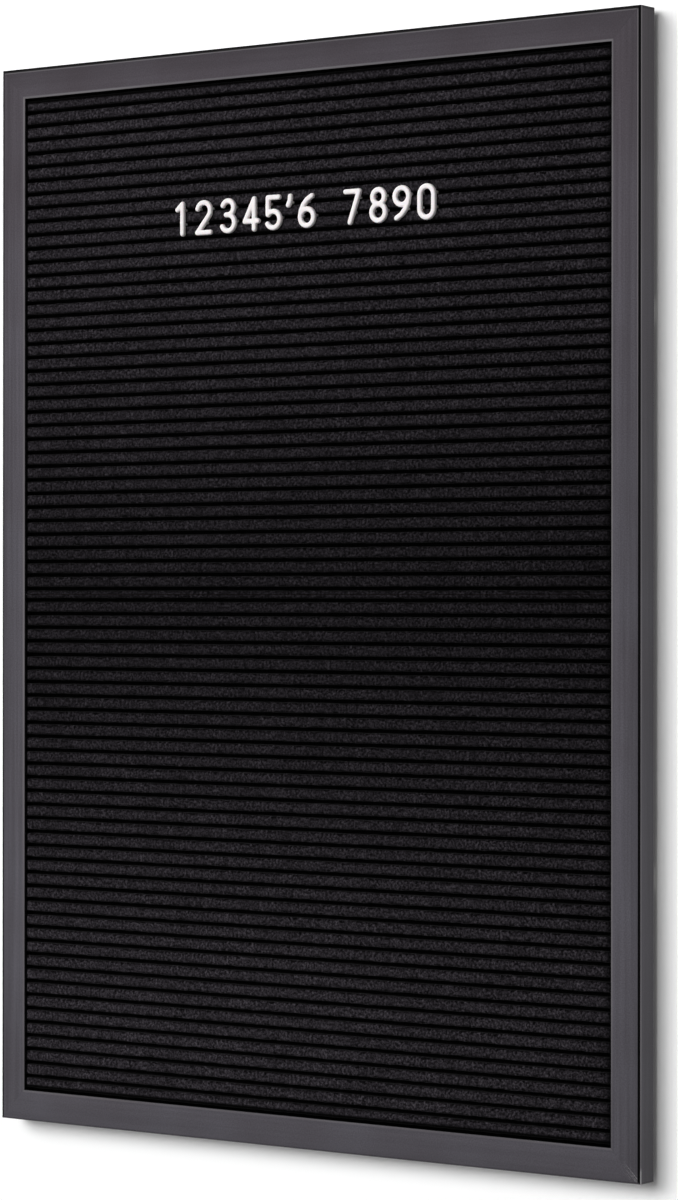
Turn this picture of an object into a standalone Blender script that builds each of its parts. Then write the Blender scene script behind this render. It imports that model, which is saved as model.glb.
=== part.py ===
"""A wall letter board: a mitred aluminium frame round two grooved felt panels, with push-in plastic figures.

Run it with: blender --background --python part.py
Lengths are in metres. +Z is up, +X is to the right as seen from the front, and the front faces -Y.
The origin is the centre of the whole board. A depth is measured back from the frame's front face.
"""

import math

import bmesh
import bpy
from mathutils import Vector
from mathutils.geometry import delaunay_2d_cdt

MM = 0.001

# Clearances
SEAT = 0.3 * MM  # left between a piece and what it rests on or sits in
PANEL_FIT = 0.5 * MM  # round the panels, inside the frame
MITRE_GAP = 0.16 * MM  # between two frame rails at a corner

# Felt panels: two equal ones, one above the other
PANEL_WIDTH = 420 * MM
PANEL_HEIGHT = 297 * MM
PITCH = 8 * MM
GROOVE_WIDTH = 2.2 * MM
GROOVE_DEPTH = 4 * MM
RIB_RADIUS = 1 * MM
JOINT_RADIUS = 0.3 * MM
JOINT_RIB_SPACING = 6.6 * MM  # between the two grooves either side of the joint
PANEL_BASE = 1.2 * MM
PANEL_EDGE = 3 * MM  # least rib left beyond the last groove

# Frame rails: a square tube with a lip that overlaps the panels
TUBE_WIDTH = 11.9 * MM
TUBE_WALL = 1.3 * MM
FRAME_DEPTH = 14.8 * MM
LIP_OVERLAP = 5.4 * MM
LIP_THICKNESS = 1.6 * MM
LIP_RADIUS = 0.7 * MM
BACK_RADIUS = 0.8 * MM
LINE_WIDTH = 0.9 * MM  # the fine rebate along the outer front edge
LINE_DEPTH = 0.9 * MM

# Backing board
BACKING_THICKNESS = 2.5 * MM
BACKING_MARGIN = 1 * MM  # how far its edge stays inside the panels' edge

# Corner keys and their screws
KEY_LEG = 40 * MM
KEY_CHAMFER = 2 * MM
KEY_SCREW_FROM_CORNER = 27 * MM

# Screws
SCREW_HEAD_RADIUS = 2.7 * MM
SCREW_HEAD_HEIGHT = 1.5 * MM
SCREW_SHANK_RADIUS = 1.4 * MM
SCREW_LENGTH = 7 * MM
SCREW_TIP = 1.2 * MM
SCREW_HEAD_PROFILE = ((0, 1), (0.55, 0.93), (0.88, 0.62), (1, 0.2), (1, 0))  # shares of its radius and height
RECESS_SPAN = 2.8 * MM
RECESS_WIDTH = 0.7 * MM
RECESS_DEPTH = 0.9 * MM
SCREW_SIDES = 10

# Retaining clips: bent strips that hold the backing board in
CLIP_WIDTH = 12 * MM
CLIP_THICKNESS = 1 * MM
CLIP_TOE = 9 * MM
CLIP_INSET = 1.6 * MM  # from the rail's outer face to the clip's end
CLIP_BEND = 0.8 * MM
SIDE_CLIP_FROM_MIDDLE = 150 * MM
END_CLIP_FROM_MIDDLE = 120 * MM

# Sawtooth hanger, in the middle of the top rail
HANGER_LENGTH = 46 * MM
HANGER_HEIGHT = 9 * MM
HANGER_FOOT = 8 * MM
HANGER_THICKNESS = 0.8 * MM
HANGER_RISE = 2.2 * MM
TOOTH_PITCH = 3 * MM
TOOTH_DEPTH = 1.6 * MM

# Rubber bumpers at the lower corners
BUMPER_RADIUS = 4.8 * MM
BUMPER_ROUNDING = 0.9 * MM
BUMPER_FROM_CORNER = 60 * MM
BUMPER_SIDES = 24

# Push-in figures
FIGURE_HEIGHT = 20 * MM
FIGURE_WIDTH = 12.2 * MM
STROKE = 2.95 * MM
FIGURE_THICKNESS = 2.2 * MM
FIGURE_ROUNDING = 0.85 * MM  # of a stroke's front edges
FIGURE_GROOVES_DOWN = 10  # from the topmost groove down to the lower one that the pegs go into
FIGURE_DROP = 7.1 * MM  # from that groove down to the figure's foot
PEG_WIDTH = 1.4 * MM
PEG_LENGTH = 2.8 * MM
PEG_SPREAD = 5 * MM  # strokes further apart than this get a peg each
PEG_ROOT = 0.6 * MM  # how far a peg reaches into the figure
ARC_STEP = math.radians(18)

# Where each figure stands along the row
FIGURE_ROW = (
    ("1", -86.4 * MM),
    ("2", -70.1 * MM),
    ("3", -52.6 * MM),
    ("4", -35.8 * MM),
    ("5", -20.4 * MM),
    ("'", -8.7 * MM),
    ("6", 3.3 * MM),
    ("7", 34.8 * MM),
    ("8", 52.6 * MM),
    ("9", 68.4 * MM),
    ("0", 85.1 * MM),
)

# Depths and outlines that follow from the sizes above
OUTER_WIDTH = PANEL_WIDTH + 2 * (PANEL_FIT + TUBE_WIDTH)
OUTER_HEIGHT = 2 * (PANEL_HEIGHT + PANEL_FIT + TUBE_WIDTH)
FACE_WIDTH = TUBE_WIDTH + PANEL_FIT + LIP_OVERLAP
FIRST_GROOVE = JOINT_RIB_SPACING / 2  # above the joint
GROOVE_COUNT = 1 + int((PANEL_HEIGHT - PANEL_EDGE - FIRST_GROOVE) / PITCH)
RIB_FRONT = LIP_THICKNESS + SEAT
GROOVE_FLOOR = RIB_FRONT + GROOVE_DEPTH
PANEL_BACK = GROOVE_FLOOR + PANEL_BASE
BACKING_FRONT = PANEL_BACK + SEAT
BACKING_BACK = BACKING_FRONT + BACKING_THICKNESS
HARDWARE_SEAT = FRAME_DEPTH + SEAT
WALL_DEPTH = HARDWARE_SEAT + HANGER_RISE + HANGER_THICKNESS
FIGURE_BACK = RIB_FRONT - SEAT
FIGURE_FRONT = FIGURE_BACK - FIGURE_THICKNESS
MIDDLE_DEPTH = (min(0, FIGURE_FRONT) + WALL_DEPTH) / 2
SCREW_HOLE_RADIUS = SCREW_SHANK_RADIUS + SEAT
RAIL_MIDDLE = TUBE_WIDTH / 2  # from the outer face to the middle of the tube

# Each side of the frame: the turn about Y that brings the top rail there, its reach and its length
SIDES = {
    "top": (0, OUTER_HEIGHT / 2, OUTER_WIDTH),
    "right": (math.radians(90), OUTER_WIDTH / 2, OUTER_HEIGHT),
    "bottom": (math.radians(180), OUTER_HEIGHT / 2, OUTER_WIDTH),
    "left": (math.radians(-90), OUTER_WIDTH / 2, OUTER_HEIGHT),
}
CLIP_PLACES = {
    "top": END_CLIP_FROM_MIDDLE,
    "right": SIDE_CLIP_FROM_MIDDLE,
    "bottom": END_CLIP_FROM_MIDDLE,
    "left": SIDE_CLIP_FROM_MIDDLE,
}


def y_at(depth):
    """The Y of a depth behind the frame's front face."""
    return depth - MIDDLE_DEPTH


def material(name, colour, roughness, metallic=0.0):
    made = bpy.data.materials.new(name)
    made.use_nodes = True
    shader = made.node_tree.nodes["Principled BSDF"]
    shader.inputs["Base Color"].default_value = (*colour, 1)
    shader.inputs["Roughness"].default_value = roughness
    shader.inputs["Metallic"].default_value = metallic
    return made


def add_object(name, mesh, finish, location=(0, 0, 0), turn=0.0, smooth_angle=None):
    """A named object with its own material, turned about Y and then placed."""
    if smooth_angle is not None:
        mesh.shade_smooth()
        mesh.set_sharp_from_angle(angle=smooth_angle)
    if not mesh.materials:
        mesh.materials.append(finish)
    made = bpy.data.objects.new(name, mesh)
    made.location = location
    made.rotation_euler.y = turn
    bpy.context.scene.collection.objects.link(made)
    return made


def to_mesh(name, shape):
    """Closes off a bmesh with its faces pointing out, and hands it over as a mesh."""
    shape.normal_update()
    bmesh.ops.recalc_face_normals(shape, faces=shape.faces[:])
    mesh = bpy.data.meshes.new(name)
    shape.to_mesh(mesh)
    shape.free()
    return mesh


def arc(centre, radius, start, end):
    """Points along a round stretch, at most ARC_STEP apart. Angles are in radians."""
    steps = max(2, math.ceil(abs(end - start) / ARC_STEP))
    return [
        Vector(centre) + radius * Vector((math.cos(a), math.sin(a)))
        for a in (start + (end - start) * i / steps for i in range(steps + 1))
    ]


def corner(at, towards, away, radius, steps=2):
    """A square corner at a point, rounded: towards and away are the unit directions in and out of it."""
    centre = Vector(at) - radius * Vector(towards) + radius * Vector(away)
    return [
        centre + radius * (math.sin(t) * Vector(towards) - math.cos(t) * Vector(away))
        for t in (math.pi / 2 * i / steps for i in range(steps + 1))
    ]


def prism(name, loops, start, end):
    """A closed body between two caps. Loops are an outline and any holes; start and end place a
    loop's point at each cap."""
    shape = bmesh.new()
    caps = ([], [])
    for loop in loops:
        rims = [[shape.verts.new(place(*p)) for p in loop] for place in (start, end)]
        count = len(loop)
        for i in range(count):
            j = (i + 1) % count
            shape.faces.new((rims[0][i], rims[0][j], rims[1][j], rims[1][i]))
        for cap, rim in zip(caps, rims):
            cap.extend(shape.edges.get((rim[i], rim[(i + 1) % count])) for i in range(count))
        if len(loops) == 1:
            shape.faces.new(rims[0])
            shape.faces.new(rims[1])
    if len(loops) > 1:
        for cap in caps:
            bmesh.ops.triangle_fill(shape, edges=cap, use_beauty=True)
    return to_mesh(name, shape)


def cylinder_cutter(name, places, radius, low, high):
    """Upright holes along Y at points (x, z), as one hidden object that a piece can be cut by."""
    shape = bmesh.new()
    for x, z in places:
        made = bmesh.ops.create_cone(
            shape,
            cap_ends=True,
            segments=SCREW_SIDES,
            radius1=radius,
            radius2=radius,
            depth=high - low,
        )
        for vert in made["verts"]:
            vert.co = Vector((x + vert.co.x, (low + high) / 2 + vert.co.z, z + vert.co.y))
    return hidden(add_object(name, to_mesh(name, shape), CUTTER))


def hidden(guide):
    guide.hide_render = True
    guide.display_type = "WIRE"
    return guide


def boolean(piece, other, operation):
    step = piece.modifiers.new(other.name, "BOOLEAN")
    step.operation = operation
    step.object = other


def rail_profile():
    """The rail's section, as (distance in from the outer face, depth): its outline and its hollow."""
    outline = [
        (LINE_WIDTH, LINE_DEPTH),
        (LINE_WIDTH, 0),
        *corner((FACE_WIDTH, 0), (1, 0), (0, 1), LIP_RADIUS),
        (FACE_WIDTH, LIP_THICKNESS),
        (TUBE_WIDTH, LIP_THICKNESS),
        *corner((TUBE_WIDTH, FRAME_DEPTH), (0, 1), (-1, 0), BACK_RADIUS),
        *corner((0, FRAME_DEPTH), (-1, 0), (0, -1), BACK_RADIUS),
        (0, LINE_DEPTH),
    ]
    near, far = TUBE_WALL, TUBE_WIDTH - TUBE_WALL
    front, back = LIP_THICKNESS, FRAME_DEPTH - TUBE_WALL
    hollow = [(near, front), (far, front), (far, back), (near, back)]
    return [outline, hollow]


def rail_holes(side):
    """Where screws go through a rail's back wall, as distances along it from its middle."""
    length = SIDES[side][2]
    key = length / 2 - KEY_SCREW_FROM_CORNER
    clip = CLIP_PLACES[side]
    places = [-key, -clip, clip, key]
    if side == "top":
        places += [-hanger_screw(), hanger_screw()]
    return places


def hanger_screw():
    return (HANGER_LENGTH - HANGER_FOOT) / 2


def on_side(side):
    """The location and turn that bring a piece made for the top rail to this side. Its local Z is 0 at
    the rail's outer face, and its local Y is already right."""
    turn, reach, _ = SIDES[side]
    return (reach * math.sin(turn), 0, reach * math.cos(turn)), turn


def make_rail(side):
    location, turn = on_side(side)
    half = SIDES[side][2] / 2
    gap = MITRE_GAP / math.sqrt(2)

    def start(inward, depth):
        return (gap + inward - half, y_at(depth), -inward)

    def end(inward, depth):
        return (half - inward - gap, y_at(depth), -inward)

    rail = add_object(
        f"frame_{side}",
        prism(f"frame_{side}", rail_profile(), start, end),
        FRAME,
        location,
        turn,
    )
    cutter = cylinder_cutter(
        f"holes_{side}",
        [(x, -RAIL_MIDDLE) for x in rail_holes(side)],
        SCREW_HOLE_RADIUS,
        y_at(FRAME_DEPTH - 2 * TUBE_WALL),
        y_at(FRAME_DEPTH + TUBE_WALL),
    )
    cutter.location = location
    cutter.rotation_euler.y = turn
    boolean(rail, cutter, "DIFFERENCE")


def make_corner_key(name, right, up):
    """An L that joins two rails inside their hollows. right and up are 1 or -1."""
    near = TUBE_WALL + SEAT
    far = TUBE_WIDTH - TUBE_WALL - SEAT
    tip = near + KEY_CHAMFER
    other_tip = far - KEY_CHAMFER
    end = KEY_LEG - KEY_CHAMFER
    leg = [(end, near), (KEY_LEG, tip), (KEY_LEG, other_tip), (end, far)]
    other_leg = [(b, a) for a, b in reversed(leg)]
    outline = [(tip, near), *leg, (far, far), *other_leg, (near, tip)]
    corner_x = right * OUTER_WIDTH / 2
    corner_z = up * OUTER_HEIGHT / 2

    def at(depth):
        return lambda a, b: (corner_x - right * a, y_at(depth), corner_z - up * b)

    front = LIP_THICKNESS + SEAT
    back = FRAME_DEPTH - TUBE_WALL - SEAT
    key = add_object(name, prism(name, [outline], at(front), at(back)), KEY_METAL)
    screws = [
        (corner_x - right * a, corner_z - up * b)
        for a, b in ((KEY_SCREW_FROM_CORNER, RAIL_MIDDLE), (RAIL_MIDDLE, KEY_SCREW_FROM_CORNER))
    ]
    through = (y_at(front - SEAT), y_at(back + SEAT))
    boolean(key, cylinder_cutter(f"{name}_holes", screws, SCREW_HOLE_RADIUS, *through), "DIFFERENCE")
    return screws


def groove_height(number):
    """The height of a groove's middle above the joint, counting from 0."""
    return FIRST_GROOVE + number * PITCH


def panel_section():
    """The grooved panel's section, as (height above the joint, depth), for the upper panel."""
    low = SEAT / 2
    points = [(low, PANEL_BACK)]
    points += corner((low, RIB_FRONT), (0, -1), (1, 0), JOINT_RADIUS)
    for i in range(GROOVE_COUNT):
        lower = groove_height(i) - GROOVE_WIDTH / 2
        upper = lower + GROOVE_WIDTH
        points += corner((lower, RIB_FRONT), (1, 0), (0, 1), RIB_RADIUS)
        points += [(lower, GROOVE_FLOOR), (upper, GROOVE_FLOOR)]
        points += corner((upper, RIB_FRONT), (0, -1), (1, 0), RIB_RADIUS)
    points += [(PANEL_HEIGHT, RIB_FRONT), (PANEL_HEIGHT, PANEL_BACK)]
    return points


def make_felt_panel(name, up):
    """One grooved panel, above the joint if up is 1, and below it as its mirror image if up is -1."""
    half = PANEL_WIDTH / 2

    def at(x):
        return lambda height, depth: (x, y_at(depth), up * height)

    mesh = prism(name, [panel_section()], at(-half), at(half))
    add_object(name, mesh, FELT, smooth_angle=math.radians(50))


def make_backing_board():
    shape = bmesh.new()
    bmesh.ops.create_cube(shape, size=1)
    size = (
        PANEL_WIDTH - 2 * BACKING_MARGIN,
        BACKING_THICKNESS,
        2 * (PANEL_HEIGHT - BACKING_MARGIN),
    )
    bmesh.ops.scale(shape, vec=size, verts=shape.verts[:])
    centre = (0, y_at((BACKING_FRONT + BACKING_BACK) / 2), 0)
    add_object("backing_board", to_mesh("backing_board", shape), HARDBOARD, centre)


def screw_mesh(length):
    """A pan-head screw with a cross recess. Its head sits on Y 0 and its shank runs to -Y."""
    shank = SCREW_SHANK_RADIUS
    section = [
        *((r * SCREW_HEAD_RADIUS, y * SCREW_HEAD_HEIGHT) for r, y in SCREW_HEAD_PROFILE),
        (shank, 0),
        (shank, SCREW_TIP - length),
        (0, -length),
    ]
    shape = bmesh.new()
    verts = [shape.verts.new((r, y, 0)) for r, y in section]
    edges = [shape.edges.new(pair) for pair in zip(verts, verts[1:])]
    bmesh.ops.spin(
        shape,
        geom=verts + edges,
        axis=(0, 1, 0),
        angle=math.tau,
        steps=SCREW_SIDES,
        use_merge=True,
    )
    bmesh.ops.remove_doubles(shape, verts=shape.verts[:], dist=0.01 * MM)
    blank = add_object("screw_blank", to_mesh("screw_blank", shape), STEEL)

    cross = bmesh.new()
    for span in ((RECESS_SPAN, RECESS_WIDTH), (RECESS_WIDTH, RECESS_SPAN)):
        made = bmesh.ops.create_cube(cross, size=1)["verts"]
        bmesh.ops.scale(cross, vec=(span[0], 2 * RECESS_DEPTH, span[1]), verts=made)
        bmesh.ops.translate(cross, vec=(0, SCREW_HEAD_HEIGHT, 0), verts=made)
    recess = hidden(add_object("screw_recess", to_mesh("screw_recess", cross), CUTTER))
    boolean(blank, recess, "DIFFERENCE")
    blank.modifiers[0].use_self = True

    graph = bpy.context.evaluated_depsgraph_get()
    made = bpy.data.meshes.new_from_object(blank.evaluated_get(graph))
    made.name = "pan_head_screw"
    made.shade_smooth()
    made.set_sharp_from_angle(angle=math.radians(40))
    for helper in (blank, recess):
        bpy.data.objects.remove(helper)
    return made


def side_point(side, along, inward):
    """The (x, z) of a point on a side of the frame."""
    turn, reach, _ = SIDES[side]
    out = reach - inward
    return (
        along * math.cos(turn) + out * math.sin(turn),
        out * math.cos(turn) - along * math.sin(turn),
    )


def add_screw(name, mesh, place, seat_depth):
    x, z = place
    add_object(name, mesh, STEEL, (x, y_at(seat_depth + SEAT), z))


def make_clip(name, side, along, screw):
    """A bent strip: its foot lies on the rail's back, and its toe presses on the backing board."""
    location, turn = on_side(side)
    bend = TUBE_WIDTH + SEAT
    seat, top = HARDWARE_SEAT, HARDWARE_SEAT + CLIP_THICKNESS
    toe, toe_back = BACKING_BACK + SEAT, BACKING_BACK + SEAT + CLIP_THICKNESS
    inner = bend + CLIP_THICKNESS
    section = [
        (CLIP_INSET, seat),
        (bend, seat),
        *corner((bend, toe), (0, -1), (1, 0), CLIP_BEND),
        (bend + CLIP_TOE, toe),
        (bend + CLIP_TOE, toe_back),
        (inner, toe_back),
        *corner((inner, top), (0, 1), (-1, 0), CLIP_BEND),
        (CLIP_INSET, top),
    ]

    def at(x):
        return lambda inward, depth: (x, y_at(depth), -inward)

    mesh = prism(name, [section], at(along - CLIP_WIDTH / 2), at(along + CLIP_WIDTH / 2))
    clip = add_object(name, mesh, STEEL, location, turn)
    hole = cylinder_cutter(
        f"{name}_hole",
        [(along, -RAIL_MIDDLE)],
        SCREW_HOLE_RADIUS,
        y_at(seat - CLIP_THICKNESS),
        y_at(top + CLIP_THICKNESS),
    )
    hole.location = location
    hole.rotation_euler.y = turn
    boolean(clip, hole, "DIFFERENCE")
    add_screw(f"{name}_screw", screw, side_point(side, along, RAIL_MIDDLE), top)


def make_hanger(screw):
    """A strip raised off the top rail between its two feet, with teeth along its lower edge."""
    half = HANGER_LENGTH / 2
    step_in = half - HANGER_FOOT
    low, high = HARDWARE_SEAT, HARDWARE_SEAT + HANGER_THICKNESS
    raised_low, raised_high = low + HANGER_RISE, high + HANGER_RISE
    slope = HANGER_RISE / 2
    flat = step_in - slope
    section = [
        (-half, low),
        (-step_in, low),
        (-flat, raised_low),
        (flat, raised_low),
        (step_in, low),
        (half, low),
        (half, high),
        (step_in + HANGER_THICKNESS / 2, high),
        (flat + HANGER_THICKNESS / 2, raised_high),
        (-flat - HANGER_THICKNESS / 2, raised_high),
        (-step_in - HANGER_THICKNESS / 2, high),
        (-half, high),
    ]
    middle = OUTER_HEIGHT / 2 - RAIL_MIDDLE
    bottom, top = middle - HANGER_HEIGHT / 2, middle + HANGER_HEIGHT / 2

    def at(z):
        return lambda x, depth: (x, y_at(depth), z)

    hanger = add_object("sawtooth_hanger", prism("sawtooth_hanger", [section], at(bottom), at(top)), STEEL)

    teeth = 2 * int((flat - TOOTH_PITCH / 2) / TOOTH_PITCH) + 1
    comb = [(teeth * TOOTH_PITCH / 2, -TOOTH_DEPTH), (-teeth * TOOTH_PITCH / 2, -TOOTH_DEPTH)]
    for i in range(teeth):
        left = (i - teeth / 2) * TOOTH_PITCH
        comb += [(left, 0), (left + TOOTH_PITCH / 2, TOOTH_DEPTH)]
    comb.append((teeth * TOOTH_PITCH / 2, 0))

    def comb_at(depth):
        return lambda x, z: (x, y_at(depth), bottom + z)

    cutter = prism(
        "hanger_teeth",
        [comb],
        comb_at(raised_low - HANGER_THICKNESS),
        comb_at(raised_high + HANGER_THICKNESS),
    )
    boolean(hanger, hidden(add_object("hanger_teeth", cutter, CUTTER)), "DIFFERENCE")
    places = [(-hanger_screw(), middle), (hanger_screw(), middle)]
    span = (y_at(low - HANGER_THICKNESS), y_at(high + HANGER_THICKNESS))
    boolean(hanger, cylinder_cutter("hanger_holes", places, SCREW_HOLE_RADIUS, *span), "DIFFERENCE")
    for name, place in zip(("left", "right"), places):
        add_screw(f"hanger_screw_{name}", screw, place, high)


def make_bumper(name, right):
    """A rubber disc that keeps the board's foot as far off the wall as the hanger does."""
    shape = bmesh.new()
    thickness = WALL_DEPTH - HARDWARE_SEAT
    bmesh.ops.create_cone(
        shape,
        cap_ends=True,
        segments=BUMPER_SIDES,
        radius1=BUMPER_RADIUS,
        radius2=BUMPER_RADIUS,
        depth=thickness,
    )
    rim = [e for e in shape.edges if all(v.co.z > 0 for v in e.verts)]
    bmesh.ops.bevel(
        shape,
        geom=rim,
        offset=BUMPER_ROUNDING,
        segments=2,
        profile=0.5,
        affect="EDGES",
        material=-1,
    )
    for vert in shape.verts:
        vert.co = Vector((vert.co.x, vert.co.z, vert.co.y))
    x = right * (OUTER_WIDTH / 2 - BUMPER_FROM_CORNER)
    centre = (x, y_at((HARDWARE_SEAT + WALL_DEPTH) / 2), RAIL_MIDDLE - OUTER_HEIGHT / 2)
    add_object(name, to_mesh(name, shape), RUBBER, centre, smooth_angle=math.radians(40))


# The figures' centrelines run between these, so that the strokes fill the figure's height and width
FOOT = STROKE / 2
HEAD = FIGURE_HEIGHT - STROKE / 2
REACH = (FIGURE_WIDTH - STROKE) / 2
WAIST = 0.53 * FIGURE_HEIGHT  # where the two halves of 3 and 8 meet
UPPER_BOWL = (HEAD - WAIST) / 2
LOWER_BOWL = (WAIST - FOOT) / 2


def deg_arc(x, z, radius, start, end):
    return arc((x, z), radius, math.radians(start), math.radians(end))


def loop_with_tail():
    """The strokes of a 6: a round bowl, and an arc that rises from its left side."""
    tail_x = 0.75 * REACH
    tail_top = HEAD - 0.2 * STROKE
    bowl = FOOT + REACH
    run, rise = tail_x + REACH, tail_top - bowl
    radius = (run * run + rise * rise) / (2 * run)
    centre_x = radius - REACH
    last = math.degrees(math.atan2(rise, tail_x - centre_x))
    return [
        ("ring", deg_arc(0, bowl, REACH, 0, 360)),
        ("stroke", deg_arc(centre_x, bowl, radius, 180, last)),
    ]


def turned(strokes):
    """The same strokes, turned upside down in the figure's own box."""
    return [(kind, [Vector((-p.x, FIGURE_HEIGHT - p.y)) for p in path]) for kind, path in strokes]


def line(*points):
    return ("stroke", [Vector(p) for p in points])


def figure_strokes():
    """Each figure's strokes as centrelines (x, height above its foot). A ring is closed."""
    arm = 0.3 * FIGURE_HEIGHT
    stem = 0.42 * REACH
    shoulder = HEAD - REACH
    two_end = deg_arc(0, shoulder, REACH, 165, -38)
    five_bowl = deg_arc(0, FOOT + REACH, REACH, 142, -150)
    five_x = five_bowl[0].x
    return {
        "0": [("ring", deg_arc(0, shoulder, REACH, 0, 180) + deg_arc(0, FOOT + REACH, REACH, 180, 360))],
        "1": [line((0.8 * MM, FOOT), (0.8 * MM, HEAD)), line((0.8 * MM, HEAD), (-2.8 * MM, HEAD - 3.2 * MM))],
        "2": [("stroke", two_end + [Vector((-REACH, FOOT))]), line((-REACH, FOOT), (REACH, FOOT))],
        "3": [
            ("stroke", deg_arc(0, HEAD - UPPER_BOWL, UPPER_BOWL, 160, -90)),
            line((-0.3 * REACH, WAIST), (0, WAIST)),
            ("stroke", deg_arc(0, FOOT + LOWER_BOWL, LOWER_BOWL, 90, -155)),
        ],
        "4": [
            line((stem, HEAD), (-REACH, arm)),
            line((-REACH, arm), (REACH, arm)),
            line((stem, HEAD), (stem, FOOT)),
        ],
        "5": [
            line((0.85 * REACH, HEAD), (five_x, HEAD)),
            line((five_x, HEAD), five_bowl[0]),
            ("stroke", five_bowl),
        ],
        "6": loop_with_tail(),
        "7": [line((-REACH, HEAD), (REACH, HEAD)), line((REACH, HEAD), (-0.35 * REACH, FOOT))],
        "8": [
            ("ring", deg_arc(0, HEAD - UPPER_BOWL, UPPER_BOWL, 0, 360)),
            ("ring", deg_arc(0, FOOT + LOWER_BOWL, LOWER_BOWL, 0, 360)),
        ],
        "9": turned(loop_with_tail()),
        "'": [line((0.4 * MM, HEAD), (0.2 * MM, HEAD - 2.4 * MM), (-1 * MM, HEAD - 5 * MM))],
    }


def offset_path(path, distance, closed):
    """The path moved sideways to its left, with mitred joints."""
    count = len(path)
    moved = []
    for i, point in enumerate(path):
        before = path[i - 1] if closed or i > 0 else None
        after = path[(i + 1) % count] if closed or i < count - 1 else None
        into = (point - before).normalized() if before else (after - point).normalized()
        out = (after - point).normalized() if after else into
        normal = (into.orthogonal() + out.orthogonal()).normalized()
        moved.append(point + normal * (distance / max(0.5, normal.dot(out.orthogonal()))))
    return moved


def stroke_outlines(kind, path, half):
    """A stroke's outline as (solid loop, hole loop or None)."""
    if kind == "ring":
        path = [p for i, p in enumerate(path) if (p - path[i - 1]).length > 0.01 * MM]
        return offset_path(path, -half, True), offset_path(path, half, True)
    right = offset_path(path, -half, False)
    left = offset_path(path, half, False)
    caps = []
    for tip, inner in ((path[-1], path[-2]), (path[0], path[1])):
        heading = math.atan2(tip.y - inner.y, tip.x - inner.x)
        caps.append(arc(tip, half, heading - math.pi / 2, heading + math.pi / 2)[1:-1])
    return right + caps[0] + left[::-1] + caps[1], None


def united_outline(strokes, half):
    """The rim of all the strokes together, as a bmesh of edges in the XZ plane."""
    points, loops, parts = [], [], []
    for kind, path in strokes:
        part = []
        for loop in stroke_outlines(kind, path, half):
            if loop is None:
                part.append(None)
                continue
            loops.append(range(len(points), len(points) + len(loop)))
            points += [p / MM for p in loop]
            part.append(len(loops) - 1)
        parts.append(part)
    verts, _, faces, _, _, owners = delaunay_2d_cdt(points, [], [list(loop) for loop in loops], 1, 1e-5)

    shape = bmesh.new()
    made = [shape.verts.new((p.x * MM, 0, p.y * MM)) for p in verts]
    for face, inside in zip(faces, owners):
        if any(solid in inside and hole not in inside for solid, hole in parts):
            shape.faces.new([made[i] for i in face])
    rim = [e for e in shape.edges if len(e.link_faces) == 1]
    inner = [e for e in shape.edges if e not in set(rim)]
    bmesh.ops.delete(shape, geom=shape.faces[:], context="FACES_ONLY")
    bmesh.ops.delete(shape, geom=inner, context="EDGES")
    loose = [v for v in shape.verts if not v.link_edges]
    bmesh.ops.delete(shape, geom=loose, context="VERTS")
    bmesh.ops.remove_doubles(shape, verts=shape.verts[:], dist=0.05 * MM)
    return shape


def crossings(strokes, height):
    """Where the centrelines cross a height, as sorted x values."""
    found = []
    for kind, path in strokes:
        pairs = list(zip(path, path[1:]))
        if kind == "ring":
            pairs.append((path[-1], path[0]))
        for a, b in pairs:
            if (a.y - height) * (b.y - height) < 0:
                found.append(a.x + (b.x - a.x) * (height - a.y) / (b.y - a.y))
    return sorted(found)


def make_pegs(name, strokes):
    """The blades on a figure's back that push into two neighbouring grooves."""
    shape = bmesh.new()
    for height in (FIGURE_DROP, FIGURE_DROP + PITCH):
        found = crossings(strokes, height)
        if not found:
            continue
        places = {found[0], found[-1]} if found[-1] - found[0] > PEG_SPREAD else {found[0]}
        for x in sorted(places):
            made = bmesh.ops.create_cube(shape, size=1)["verts"]
            size = (PEG_WIDTH, PEG_ROOT + PEG_LENGTH, GROOVE_WIDTH - 2 * SEAT)
            bmesh.ops.scale(shape, vec=size, verts=made)
            bmesh.ops.translate(shape, vec=(x, (PEG_LENGTH - PEG_ROOT) / 2, height), verts=made)
    return hidden(add_object(name, to_mesh(name, shape), CUTTER))


def make_figure(name, strokes, x):
    """One push-in figure: a flat back, rounded front edges, and pegs behind."""
    shape = united_outline(strokes, STROKE / 2)
    bmesh.ops.triangle_fill(shape, edges=shape.edges[:], use_beauty=True)
    back = shape.faces[:]
    raised = bmesh.ops.extrude_face_region(shape, geom=back, use_keep_orig=True)["geom"]
    front = [f for f in raised if isinstance(f, bmesh.types.BMFace)]
    moved = {v for f in front for v in f.verts}
    bmesh.ops.translate(shape, vec=(0, FIGURE_ROUNDING - FIGURE_THICKNESS, 0), verts=list(moved))
    shape.normal_update()
    bmesh.ops.recalc_face_normals(shape, faces=shape.faces[:])
    for inset_share, rise_share in ((0.27, 0.7), (0.6, 0.3)):
        bmesh.ops.inset_region(
            shape,
            faces=front,
            thickness=inset_share * FIGURE_ROUNDING,
            depth=rise_share * FIGURE_ROUNDING,
            use_boundary=True,
            use_even_offset=True,
        )
    foot = groove_height(GROOVE_COUNT - 1 - FIGURE_GROOVES_DOWN) - FIGURE_DROP
    place = (x, y_at(FIGURE_BACK), foot)
    figure = add_object(name, to_mesh(name, shape), FIGURE_PLASTIC, place, smooth_angle=math.radians(50))
    pegs = make_pegs(f"{name}_pegs", strokes)
    pegs.location = place
    boolean(figure, pegs, "UNION")


for old in list(bpy.data.objects):
    bpy.data.objects.remove(old)

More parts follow.
